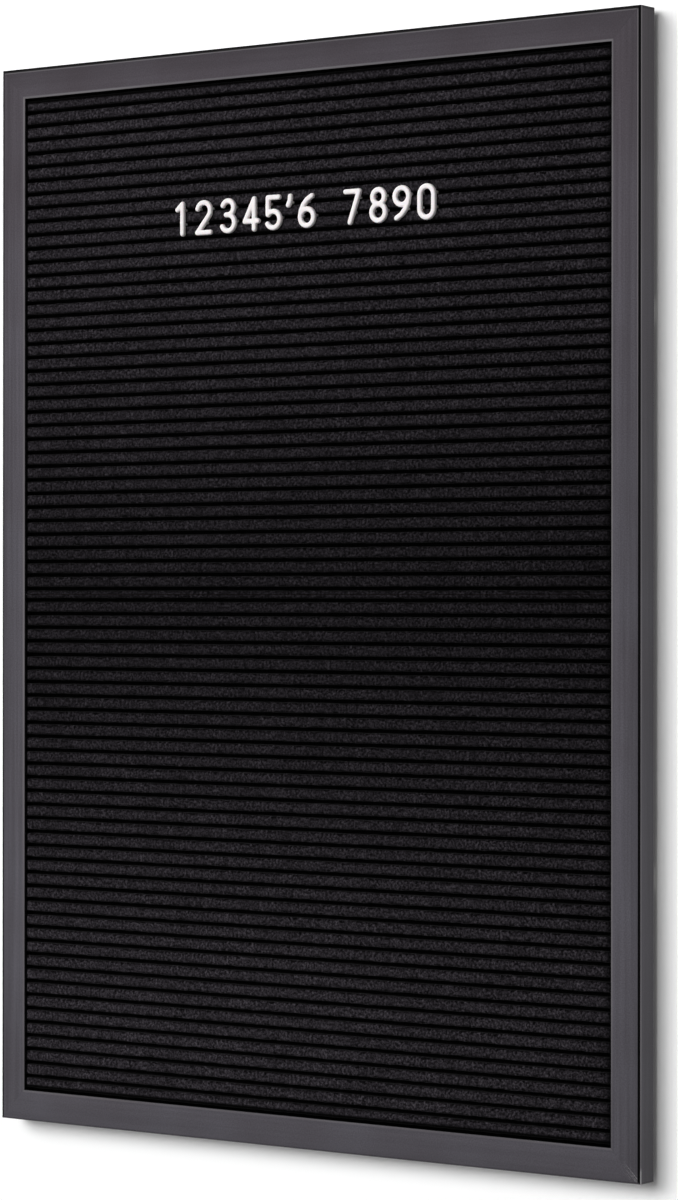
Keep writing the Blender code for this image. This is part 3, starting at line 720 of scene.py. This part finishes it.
# %% [markdown]
# A rail has two materials. Which one a face gets follows from where it lies and where it faces. Three kinds
# of face are told apart: the rebate's wall, its floor with the rounded rim, and the lip's inner side.

# %% Helper: choose between the coat and the black lines
COATED, PAINTED_SHADE = 0, 1
NEARLY = 0.1 * MM


def paint_lines(mesh, outward, reach, floor_finish):
    """outward is the direction from the middle of the board to the rail, and reach is how far it goes."""
    for face in mesh.polygons:
        inward = reach - face.center.dot(outward)
        depth = face.center.y - FRONT
        facing = face.normal.dot(outward)
        on_wall = abs(inward - LINE) < NEARLY and depth < LINE and facing > 0.8
        on_floor = inward < 0.95 * LINE and depth < 1.15 * LINE and face.normal.y < -0.3
        on_lip = abs(inward - RAIL_FACE) < NEARLY and depth < LIP and facing < -0.9
        # the rebate's wall and the lip's inner side get the black of painted shade
        if on_wall or on_lip:
            face.material_index = PAINTED_SHADE
        elif on_floor:
            face.material_index = floor_finish


print("a rail's slots: coat", COATED, "and black", PAINTED_SHADE)

# %% [markdown]
# A flat face beside a rounded corner would shade as if it were bent, so a Weighted Normal modifier lets the
# large faces decide the shading.

# %% Make the four rails
ROUNDED_TO = 28

for side, (turn, reach, length) in TURNS.items():
    rail = sawn_rail(length)
    spin = Matrix.Rotation(math.radians(turn), 4, "Y")
    to_side = spin @ Matrix.Translation((0, FRONT, reach))
    bmesh.ops.transform(rail, matrix=to_side, verts=rail.verts[:])
    back = FRONT + RAIL_DEPTH
    drilled = drill(rail, screws_over(f"frame_{side}"), back - 2 * WALL, back + WALL)
    for finish in (GRAPHITE[side], painted_shade_black.material):
        drilled.materials.append(finish)
    # the rebate's floor is painted shade on the top and the side rails, and keeps the coat on the bottom one
    floor_finish = COATED if side == "bottom" else PAINTED_SHADE
    paint_lines(drilled, spin @ Vector((0, 0, 1)), reach, floor_finish)
    piece = add_mesh_piece(f"rail_{side}", drilled, GRAPHITE[side], f"frame_{side}", ROUNDED_TO)
    even_out = piece.modifiers.new("flat_faces", "WEIGHTED_NORMAL")
    even_out.keep_sharp = True
    print(piece.name, len(drilled.polygons), "faces")

# %% [markdown]
# ## Felt
#
# The felt is black, matt and short-haired. Its two panels have a groove every 8 mm, with a rib between each
# two. The panels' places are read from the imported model, and the grooves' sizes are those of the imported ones.

# %% Felt sizes, with the panels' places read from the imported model
upper_low, upper_high = corners_of("felt_panel_upper")
PITCH = 8 * MM
GROOVE = 2.2 * MM
GROOVE_DEPTH = 4 * MM
FIRST_GROOVE = 3.3 * MM
RIB_ROUNDING = 1.0 * MM
FLOOR_ROUNDING = 0.5 * MM
LENGTHS = 190
EDGE_LEFT_PLAIN = 3 * MM
groove_count = 1 + int((upper_high.z - EDGE_LEFT_PLAIN - FIRST_GROOVE) / PITCH)
print("grooves in a panel:", groove_count)

# %% [markdown]
# Seen close, the felt is a mottle of fibres about a millimetre across, with tufts and softer clouds where the
# pile lies another way. One noise for each size makes them.

# %% Finish: black felt, the fibres
FELT_DARK = (0.0022, 0.0019, 0.0023)
FELT_MIDDLE = (0.0092, 0.0081, 0.0097)
FELT_PALE = (0.0280, 0.0250, 0.0292)

felt = Finish("black_felt", Roughness=0.95, Specular_IOR_Level=0.03, Sheen_Weight=0.02, Sheen_Roughness=0.5)
fibres = felt.noise(1.4 * MM, detail=4, rough=0.7)
clots = felt.noise(1.6 * MM, detail=2)
tufts = felt.noise(4.5 * MM, detail=2)
pile = felt.noise(38 * MM, detail=2)
fibre_colour = felt.ramp(fibres, (0.38, FELT_DARK), (0.50, FELT_MIDDLE), (0.64, FELT_PALE))
print("felt's palest fibre:", FELT_PALE)

# %% [markdown]
# A groove is painted deepest black, as painted shade for the shade that fills it. Two values find it: the depth
# behind the ribs, and the distance to the nearest groove, which PINGPONG folds out of the height. Both get
# noise added to them first, so that the black ends in a ragged line, as cut felt does.

# %% Finish: black felt, painted shade in and beside the grooves
FRAY, RAGGED = 0.6 * MM, 1.4 * MM
behind = felt.math("ADD", felt.axis("Y"), felt.spread(fibres, -FRAY, FRAY))
height = felt.math("ABSOLUTE", felt.axis("Z"))
to_groove = felt.math("PINGPONG", felt.math("SUBTRACT", height, FIRST_GROOVE), PITCH / 2)
to_groove = felt.math("ADD", to_groove, felt.spread(clots, -RAGGED, RAGGED, NOISE_LOW, NOISE_HIGH))
print("black edges wander by up to", RAGGED / MM, "mm")

# %% [markdown]
# The felt is paler towards the board's ends than at the joint in the middle, as painted light, and a little
# darker to the right, as painted shade. Beside the lip it stays blacker, as painted shade, apart from a strip
# of painted light along the left one.

# %% Finish: black felt, all factors together
across = felt.axis("X")
lip_height = HALF_HEIGHT - RAIL_FACE
lip_width = HALF_WIDTH - RAIL_FACE
felt_colour = felt.scaled(
    fibre_colour,
    # the tufts and the lie of the pile
    felt.spread(tufts, 0.70, 1.05, NOISE_LOW, NOISE_HIGH),
    felt.spread(pile, 0.85, 1.0, NOISE_LOW, NOISE_HIGH),
    # painted shade down into a groove, and near its edge
    felt.spread(behind, 1.0, 0.09, upper_low.y + 0.5 * MM, upper_low.y + 2.0 * MM),
    felt.spread(to_groove, 0.20, 1.0, 1.2 * MM, 2.1 * MM),
    # painted light from the middle to both ends, and painted shade from left to right
    felt.spread(height, 1.15, 2.25, 0.0, 0.75 * upper_high.z),
    felt.spread(across, 1.0, 0.80, -lip_width / 2, lip_width),
    # painted shade beside the lip: above and below, at the right and at the left, then painted light at the left
    felt.spread(height, 1.0, 0.03, lip_height - 3.9 * MM, lip_height - 2.7 * MM),
    felt.spread(across, 1.0, 0.15, lip_width - 5.5 * MM, lip_width - 1.5 * MM),
    felt.spread(across, 0.1, 1.0, 0.8 * MM - lip_width, 1.2 * MM - lip_width),
    felt.spread(across, 1.5, 1.0, 1.2 * MM - lip_width, 5 * MM - lip_width),
)
felt.colour(felt_colour)
felt.bump(tufts, 0.16 * MM)
felt.bump(fibres, 0.16 * MM, 0.8)
print("felt made with", len(felt.nodes), "nodes")

# %% [markdown]
# One rib and one groove repeat all the way up a panel. Each repeat is a short chain of edges across a groove,
# with half a rib on each side, pulled out along X. Neighbours are joined by merging their rims.

# %% Helper: one groove with half a rib on each side
def groove_strip(shape, centre, below, above):
    """A groove at a height, with a rib's face reaching down and up to the heights below and above."""
    rib = upper_low.y
    floor = rib + GROOVE_DEPTH
    edge = GROOVE / 2
    left = upper_low.x
    chain = (
        (below, rib),
        (centre - edge, rib),
        (centre - edge, floor),
        (centre + edge, floor),
        (centre + edge, rib),
        (above, rib),
    )
    verts = [shape.verts.new((left, y, z)) for z, y in chain]
    edges = [shape.edges.new(pair) for pair in zip(verts, verts[1:])]
    pulled = bmesh.ops.extrude_edge_only(shape, edges=edges)["geom"]
    moved = [v for v in pulled if isinstance(v, bmesh.types.BMVert)]
    bmesh.ops.translate(shape, vec=(upper_high.x - left, 0, 0), verts=moved)


print("a strip runs the width of the panel")

# %% [markdown]
# The ribs' shoulders and the grooves' floor corners are rounded with `bevel`. They are the long edges between
# two faces that turn through a right angle, and the floor's are told from the shoulders by their depth. Then
# `subdivide_edges` cuts every long edge into short lengths, so that the felt has points to sink and swell.

# %% Helper: the ribbed face of one panel
SHOULDER_STEPS, FLOOR_STEPS = 3, 1


def ribbed_face():
    shape = bmesh.new()
    for i in range(groove_count):
        centre = FIRST_GROOVE + i * PITCH
        below = upper_low.z if i == 0 else centre - PITCH / 2
        above = upper_high.z if i == groove_count - 1 else centre + PITCH / 2
        groove_strip(shape, centre, below, above)
    bmesh.ops.remove_doubles(shape, verts=shape.verts[:], dist=SAME_POINT)
    shape.normal_update()
    corners = [e for e in shape.edges if e.is_manifold and e.calc_face_angle() > SHARP_FROM]
    half_way = upper_low.y + GROOVE_DEPTH / 2
    kinds = ((True, FLOOR_ROUNDING, FLOOR_STEPS), (False, RIB_ROUNDING, SHOULDER_STEPS))
    for on_floor, radius, steps in kinds:
        rounded = [e for e in corners if e.is_valid and (e.verts[0].co.y > half_way) == on_floor]
        bmesh.ops.bevel(
            shape,
            geom=rounded,
            offset=radius,
            offset_type="OFFSET",
            segments=steps,
            profile=0.5,
            affect="EDGES",
            material=-1,
            clamp_overlap=True,
        )
    along = [e for e in shape.edges if abs(e.verts[0].co.x - e.verts[1].co.x) > PITCH]
    bmesh.ops.subdivide_edges(shape, edges=along, cuts=LENGTHS - 1, use_grid_fill=True)
    return shape


print("lengths along each rib:", LENGTHS)

# %% [markdown]
# Felt is never dead flat. Each point is pushed a little by noise that depends only on where it is, so the
# result is the same every time. Where the felt turns into a groove it wanders more than on a rib's top. The
# rim stays put, because the frame's lip covers it and the back joins it.

# %% Helper: make the felt uneven, then close its back
SWELL, SWELL_LENGTH = 0.10 * MM, 14 * MM
RUFFLE, RUFFLE_LENGTH = 0.20 * MM, 4.2 * MM
GROOVE_RUFFLE = 0.15 * MM


def ruffle(shape):
    shape.normal_update()
    for vert in shape.verts:
        if vert.is_boundary:
            continue
        place = vert.co
        slow = noise.noise(place / SWELL_LENGTH) * SWELL
        quick = noise.noise(place / RUFFLE_LENGTH) * (RUFFLE + GROOVE_RUFFLE * abs(vert.normal.z))
        vert.co = place + vert.normal * (slow + quick)


def close_back(shape, depth):
    rim = [e for e in shape.edges if e.is_boundary]
    pulled = bmesh.ops.extrude_edge_only(shape, edges=rim)["geom"]
    moved = [v for v in pulled if isinstance(v, bmesh.types.BMVert)]
    for vert in moved:
        vert.co.y = depth
    back_rim = [e for e in shape.edges if e.is_boundary]
    bmesh.ops.contextual_create(shape, geom=back_rim)


print("felt moves by", round((SWELL + RUFFLE + GROOVE_RUFFLE) / MM, 2), "mm at most")

# %% Make the upper panel and its mirror image below
for name, sign in (("upper", 1), ("lower", -1)):
    panel = ribbed_face()
    bmesh.ops.recalc_face_normals(panel, faces=panel.faces[:])
    if sum(f.normal.y for f in panel.faces) > 0:
        bmesh.ops.reverse_faces(panel, faces=panel.faces[:])
    bmesh.ops.scale(panel, vec=(1, 1, sign), verts=panel.verts[:])
    if sign < 0:
        bmesh.ops.reverse_faces(panel, faces=panel.faces[:])
    ruffle(panel)
    close_back(panel, upper_high.y)
    piece = add_piece(f"felt_{name}", panel, felt.material, f"felt_panel_{name}", smooth_angle=60)
    print(piece.name, len(piece.data.polygons), "faces")

# %% [markdown]
# ## White figures
#
# The figures are moulded in white plastic, with round strokes and soft ends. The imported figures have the
# right strokes with two small facets at their edges. A voxel remesh turns a merged copy into even quads, and
# smoothing then rounds every edge, as a mould does, without any one edge being picked.

# %% Finish: white moulded plastic
plastic = Finish(
    "white_plastic",
    Specular_IOR_Level=0.45,
    Subsurface_Weight=0.06,
    Subsurface_Scale=0.6 * MM,
)
tone = plastic.noise(9 * MM, detail=2)
skin = plastic.noise(0.35 * MM, detail=2)
OFF_WHITE, WHITE = (0.84, 0.80, 0.805), (0.91, 0.875, 0.88)
plastic.colour(plastic.ramp(tone, (NOISE_LOW, OFF_WHITE), (NOISE_HIGH, WHITE)))
plastic.roughness(plastic.spread(skin, 0.34, 0.46))
plastic.bump(skin, 0.008 * MM)
print("plastic made with", len(plastic.nodes), "nodes")

# %% Helper: a remeshed copy with rounded edges
VOXEL = 0.2 * MM
ROUNDS = 10


def moulded(node):
    shape = merged_copy(node)
    mesh = bpy.data.meshes.new("rough")
    shape.to_mesh(mesh)
    shape.free()
    rough = bpy.data.objects.new("rough", mesh)
    bpy.context.scene.collection.objects.link(rough)
    remesh = rough.modifiers.new("remesh", "REMESH")
    remesh.mode = "VOXEL"
    remesh.voxel_size = VOXEL
    graph = bpy.context.evaluated_depsgraph_get()
    even = bmesh.new()
    even.from_object(rough, graph)
    bpy.data.objects.remove(rough)
    for _ in range(ROUNDS):
        bmesh.ops.smooth_vert(
            even,
            verts=even.verts[:],
            factor=0.5,
            use_axis_x=True,
            use_axis_y=True,
            use_axis_z=True,
        )
    return even


figure_nodes = sorted(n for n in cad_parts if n.startswith("figure_") or n == "apostrophe")
print("figures:", len(figure_nodes))

# %% Make the figures
for node in figure_nodes:
    piece = add_piece(f"{node}_moulded", moulded(node), plastic.material, node, smooth_angle=80)
    print(piece.name, len(piece.data.polygons), "faces")

# %% [markdown]
# ## The back
#
# A hardboard sheet closes the back. Its smooth face is brown and slightly polished by the press, with short
# fibres of several browns in it.

# %% Finish: hardboard
hardboard = Finish("brown_hardboard", Specular_IOR_Level=0.3)
chips = hardboard.noise(2.2 * MM, detail=5, stretch=(1, 1, 0.5), rough=0.7)
press = hardboard.noise(45 * MM, detail=3)
CHIP_DARK, CHIP_MIDDLE, CHIP_PALE = (0.085, 0.048, 0.027), (0.150, 0.088, 0.050), (0.225, 0.140, 0.085)
chip_colour = hardboard.ramp(chips, (0.25, CHIP_DARK), (0.5, CHIP_MIDDLE), (0.75, CHIP_PALE))
PRESSED, UNPRESSED = (0.86, 0.86, 0.86), (1, 1, 1)
press_shade = hardboard.ramp(press, (NOISE_LOW, PRESSED), (NOISE_HIGH, UNPRESSED))
hardboard.colour(hardboard.blend(chip_colour, press_shade, 1.0, "MULTIPLY"))
hardboard.roughness(hardboard.spread(chips, 0.48, 0.68))
hardboard.bump(chips, 0.03 * MM)
BOARD_EDGE = 0.35 * MM
backing = add_bevelled_copy("backing_board", hardboard.material, BOARD_EDGE)
print(backing.name)

# %% [markdown]
# The clips, the hanger and the screws are zinc plated steel. Zinc plating is bright but slightly cloudy, with
# a grain that a brush or a drum has left.

# %% Finish: zinc plated steel
zinc = Finish("zinc_plate", Metallic=1.0)
bloom = zinc.noise(3.5 * MM, detail=3)
scuffs = zinc.noise(0.5 * MM, detail=4, rough=0.7)
ZINC_CLOUDY, ZINC_BRIGHT = (0.53, 0.53, 0.51), (0.70, 0.69, 0.66)
zinc.colour(zinc.ramp(bloom, (NOISE_LOW, ZINC_CLOUDY), (NOISE_HIGH, ZINC_BRIGHT)))
zinc.roughness(zinc.spread(scuffs, 0.24, 0.44))
zinc.bump(scuffs, 0.006 * MM)
CLIP_EDGE, HANGER_EDGE = 0.15 * MM, 0.1 * MM
for node in sorted(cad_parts):
    if node.startswith("clip_") and not node.endswith("_screw"):
        add_bevelled_copy(node, zinc.material, CLIP_EDGE)
hanger = add_bevelled_copy("sawtooth_hanger", zinc.material, HANGER_EDGE)
print(hanger.name)

# %% [markdown]
# A pan head screw is a turned shape, so `spin` makes it from half of its outline. The cross recess is cut by
# two crossed bars. One screw is made, and each packed screw gets a copy of it at its own place.

# %% Helper: a pan head screw, head towards +Y and its seat at the origin
HEAD_RADIUS = 2.7 * MM
HEAD_HEIGHT = 1.5 * MM
SHANK_RADIUS = 1.4 * MM
SHANK_LENGTH = 7 * MM
POINT_LENGTH = 1.2 * MM
SCREW_SIDES = 40


def turned_screw():
    outline = (
        (0, HEAD_HEIGHT),
        (0.45 * HEAD_RADIUS, 0.97 * HEAD_HEIGHT),
        (0.75 * HEAD_RADIUS, 0.80 * HEAD_HEIGHT),
        (0.94 * HEAD_RADIUS, 0.50 * HEAD_HEIGHT),
        (HEAD_RADIUS, 0.18 * HEAD_HEIGHT),
        (0.97 * HEAD_RADIUS, 0),
        (SHANK_RADIUS, 0),
        (SHANK_RADIUS, POINT_LENGTH - SHANK_LENGTH),
        (0, -SHANK_LENGTH),
    )
    shape = bmesh.new()
    verts = [shape.verts.new((radius, y, 0)) for radius, y in outline]
    edges = [shape.edges.new(pair) for pair in zip(verts, verts[1:])]
    bmesh.ops.spin(
        shape,
        geom=verts + edges,
        cent=(0, 0, 0),
        axis=(0, 1, 0),
        angle=math.tau,
        steps=SCREW_SIDES,
        use_merge=True,
    )
    bmesh.ops.remove_doubles(shape, verts=shape.verts[:], dist=SAME_POINT / 2)
    return shape


print("a screw is", (HEAD_HEIGHT + SHANK_LENGTH) / MM, "mm long")

# %% Cut the recess and set a screw in every hole
CROSS_LENGTH, CROSS_WIDTH, CROSS_HEIGHT = 2.8 * MM, 0.7 * MM, 1.8 * MM
recess = bmesh.new()
for along_x, along_z in ((CROSS_LENGTH, CROSS_WIDTH), (CROSS_WIDTH, CROSS_LENGTH)):
    bar = bmesh.ops.create_cube(recess, size=1)["verts"]
    bmesh.ops.scale(recess, vec=(along_x, CROSS_HEIGHT, along_z), verts=bar)
    bmesh.ops.translate(recess, vec=(0, HEAD_HEIGHT, 0), verts=bar)
screw_mesh = carve(turned_screw(), recess)
for node in screw_nodes:
    centre = middle(node)
    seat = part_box(node)[1][1] - HEAD_HEIGHT
    placed = screw_mesh.copy()
    placed.transform(Matrix.Translation((centre.x, seat, centre.z)))
    add_mesh_piece(f"{node}_turned", placed, zinc.material, node, smooth_angle=40)
print("screws set:", len(screw_nodes))

# %% [markdown]
# Two rubber bumpers keep the foot of the board off the wall. Rubber is matt, with a fine pebbled skin. A
# bumper is a short cylinder with a generous round on its free edge.

# %% Make the bumpers
rubber = Finish("grey_rubber", Specular_IOR_Level=0.3)
pebble = rubber.noise(0.4 * MM, detail=2)
RUBBER_DARK, RUBBER_PALE = (0.016, 0.016, 0.016), (0.030, 0.030, 0.030)
rubber.colour(rubber.ramp(pebble, (NOISE_LOW, RUBBER_DARK), (NOISE_HIGH, RUBBER_PALE)))
rubber.roughness(rubber.spread(pebble, 0.65, 0.85))
rubber.bump(pebble, 0.03 * MM)

BUMPER_SIDES = 56
BUMPER_ROUND = 0.9 * MM
for node in ("bumper_left", "bumper_right"):
    low, high = corners_of(node)
    bumper = bmesh.new()
    radius = (high.x - low.x) / 2
    bmesh.ops.create_cone(
        bumper,
        cap_ends=True,
        segments=BUMPER_SIDES,
        radius1=radius,
        radius2=radius,
        depth=high.y - low.y,
    )
    free_rim = [e for e in bumper.edges if all(v.co.z < 0 for v in e.verts)]
    bmesh.ops.bevel(
        bumper,
        geom=free_rim,
        offset=BUMPER_ROUND,
        segments=ROUND_STEPS,
        profile=0.5,
        affect="EDGES",
        material=-1,
    )
    bmesh.ops.rotate(bumper, cent=(0, 0, 0), matrix=ON_ITS_SIDE, verts=bumper.verts[:])
    bmesh.ops.translate(bumper, vec=(low + high) / 2, verts=bumper.verts[:])
    piece = add_piece(f"{node}_moulded", bumper, rubber.material, node)
    print(piece.name, len(piece.data.polygons), "faces")

# %% [markdown]
# The corner keys sit inside the rails, where nothing shows them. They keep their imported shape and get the
# dull, slightly pitted skin of a casting.

# %% Finish the corner keys
casting = Finish("cast_key", Metallic=0.9)
pits = casting.noise(0.8 * MM, detail=4, rough=0.65)
CAST_DARK, CAST_PALE = (0.33, 0.33, 0.34), (0.46, 0.46, 0.47)
casting.colour(casting.ramp(pits, (NOISE_LOW, CAST_DARK), (NOISE_HIGH, CAST_PALE)))
casting.roughness(casting.spread(pits, 0.45, 0.65))
casting.bump(pits, 0.04 * MM)
for node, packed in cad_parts.items():
    if node.startswith("corner_key"):
        for slot in packed.material_slots:
            slot.material = casting.material
print("keys finished")

# %% [markdown]
# ## The wall, the floor and the light
#
# The board hangs on a white wall above a pale floor. Only the camera needs to see them, and only from the
# room's side: from behind they are clear, so the back of the board can be looked at too. Light Path tells the
# material which rays come from the camera, and Backfacing tells it which side they meet.

# %% Finish: white wall that shows from the room's side only
GLOW_FROM, GLOW_FULL = HALF_HEIGHT - 2 * MM, HALF_HEIGHT + 5 * MM


def room_white(name, level, glow):
    """A white paint. Above the board it also glows a little, to stay white in the board's own shade."""
    wall = Sums(name)
    nodes, links = wall.nodes, wall.links
    nodes.remove(nodes["Principled BSDF"])
    paint = nodes.new("ShaderNodeBsdfDiffuse")
    paint.inputs["Color"].default_value = (level, level, level, 1)
    lamp = nodes.new("ShaderNodeEmission")
    links.new(wall.spread(wall.axis("Z"), 0.0, glow, GLOW_FROM, GLOW_FULL), lamp.inputs["Strength"])
    both = nodes.new("ShaderNodeAddShader")
    links.new(paint.outputs["BSDF"], both.inputs[0])
    links.new(lamp.outputs["Emission"], both.inputs[1])
    clear = nodes.new("ShaderNodeBsdfTransparent")
    ray = nodes.new("ShaderNodeLightPath").outputs["Is Camera Ray"]
    side = nodes.new("ShaderNodeNewGeometry").outputs["Backfacing"]
    shown = wall.math("SUBTRACT", ray, side)
    shown.node.use_clamp = True
    mix = nodes.new("ShaderNodeMixShader")
    links.new(shown, mix.inputs["Fac"])
    links.new(clear.outputs["BSDF"], mix.inputs[1])
    links.new(both.outputs["Shader"], mix.inputs[2])
    links.new(mix.outputs["Shader"], nodes["Material Output"].inputs["Surface"])
    return wall.material


print("the wall glows from", GLOW_FULL, "m upwards")

# %% Make the wall and the floor
ROOM = 12.0
FLOOR_DROP = 1.1
WALL_GAP = 0.1 * MM
wall_y = packed_box[1][1] + WALL_GAP


def add_plane(name, turn, place, finish):
    shape = bmesh.new()
    bmesh.ops.create_grid(shape, x_segments=1, y_segments=1, size=ROOM / 2)
    bmesh.ops.rotate(shape, cent=(0, 0, 0), matrix=Matrix.Rotation(turn, 3, "X"), verts=shape.verts[:])
    bmesh.ops.translate(shape, vec=place, verts=shape.verts[:])
    mesh = bpy.data.meshes.new(name)
    shape.to_mesh(mesh)
    shape.free()
    mesh.materials.append(finish)
    plane = bpy.data.objects.new(name, mesh)
    bpy.context.scene.collection.objects.link(plane)
    return plane


WALL_PAINT = room_white("wall_paint", level=1.0, glow=0.2)
FLOOR_PAINT = room_white("floor_paint", level=0.9, glow=0.0)
add_plane("wall", math.pi / 2, (0, wall_y, 0), WALL_PAINT)
add_plane("floor", 0, (0, wall_y - ROOM / 2, -FLOOR_DROP), FLOOR_PAINT)
print("wall at", wall_y)

# %% [markdown]
# Two sun lamps with a wide angle stand for one long soft box in front of the board, a little above it and to
# the left. Side by side they make it wider than it is high, so the soft shadow reaches further to the right
# of the board than below it. A small lamp behind the wall lights the board's back, for a look from there. No
# lamp shows in the metal.

# %% Helper: a lamp
def add_lamp(name, kind, place, target, **values):
    lamp = bpy.data.lights.new(name, kind)
    for key, value in values.items():
        setattr(lamp, key, value)
    holder = bpy.data.objects.new(name, lamp)
    holder.location = place
    aim = Vector(target) - Vector(place)
    holder.rotation_euler = aim.to_track_quat("-Z", "Y").to_euler()
    bpy.context.scene.collection.objects.link(holder)
    return holder


print("lamps are aimed with to_track_quat")

# %% Light the room
KEYS = ((6, 1.36), (33, 1.61))
KEY_HEIGHT = math.radians(21.5)
KEY_SOFTNESS = math.radians(34)
BACK_FILL_PLACE = (0, 2.2, 0)
BACK_FILL_WATTS, BACK_FILL_SIZE = 6, 0.35
for degrees_left, energy in KEYS:
    left = math.radians(degrees_left)
    level = math.cos(KEY_HEIGHT)
    place = (-level * math.sin(left), -level * math.cos(left), math.sin(KEY_HEIGHT))
    key = add_lamp(f"key_{degrees_left}", "SUN", place, (0, 0, 0), energy=energy, angle=KEY_SOFTNESS)
    key.visible_glossy = False
back_fill = add_lamp(
    "back_fill", "AREA", BACK_FILL_PLACE, (0, 0, 0), energy=BACK_FILL_WATTS, size=BACK_FILL_SIZE
)
back_fill.visible_camera = False
back_fill.visible_glossy = False
print("suns at", [degrees for degrees, _ in KEYS], "degrees to the left")

# %% [markdown]
# The world fills in the rest. Camera, glossy and transmission rays see it as plain white. A glossy ray that
# has met a matt surface before does not, or the zinc clips behind the board would throw bright spots on the
# wall.

# %% Make the world
AMBIENT = 0.24
world = bpy.data.worlds.new("soft_room")
bpy.context.scene.world = world
world.use_nodes = True
sky_nodes, sky_links = world.node_tree.nodes, world.node_tree.links
sky = sky_nodes["Background"]
sky.inputs["Color"].default_value = (1, 1, 1, 1)
rays = sky_nodes.new("ShaderNodeLightPath").outputs


def sky_sum(operation, first, second):
    node = sky_nodes.new("ShaderNodeMath")
    node.operation = operation
    node.use_clamp = True
    sky_links.new(first, node.inputs[0])
    sky_links.new(second, node.inputs[1])
    return node.outputs["Value"]


mirrored = sky_sum("SUBTRACT", rays["Is Glossy Ray"], rays["Diffuse Depth"])
seen = sky_sum("MAXIMUM", rays["Is Camera Ray"], mirrored)
seen = sky_sum("MAXIMUM", seen, rays["Is Transmission Ray"])
strength = sky_nodes.new("ShaderNodeMapRange")
strength.inputs["To Min"].default_value = AMBIENT
strength.inputs["To Max"].default_value = 1.0
sky_links.new(seen, strength.inputs["Value"])
sky_links.new(strength.outputs["Result"], sky.inputs["Strength"])
print("ambient light:", AMBIENT)

# %% [markdown]
# ## The camera
#
# The photograph was taken from the right, level with the middle of the board, with a long lens held upright.
# Its place was worked out from where the rails' edges meet at the horizon. Half the picture's height is 600
# pixels, and the horizon is a little above its middle, which is what the small shift is for. The camera was
# not held quite straight, so it rolls by less than a twentieth of a degree.

# %% Set the camera
PICTURE_HEIGHT = 1200
FOCAL_PIXELS = 3956
HORIZON_ABOVE_MIDDLE = 4.2
SENSOR = 36.0
ROLL = 0.0008
CAMERA_PLACE = (1332.8 * MM, FRONT - 1758.2 * MM, -0.7 * MM)
LOOKS_ALONG = Vector((-0.59650, 0.80262, 0))

lens = bpy.data.cameras.new("camera")
lens.sensor_width = SENSOR
lens.lens = FOCAL_PIXELS / PICTURE_HEIGHT * SENSOR
lens.shift_y = -HORIZON_ABOVE_MIDDLE / PICTURE_HEIGHT
lens.clip_end = 50
camera = bpy.data.objects.new("camera", lens)
camera.location = CAMERA_PLACE
aim = LOOKS_ALONG.to_track_quat("-Z", "Y")
camera.rotation_euler = (aim @ Quaternion((0, 0, 1), ROLL)).to_euler()
bpy.context.scene.collection.objects.link(camera)
bpy.context.scene.camera = camera
bpy.context.scene.view_settings.view_transform = "Standard"
print("lens", round(lens.lens, 1), "mm")
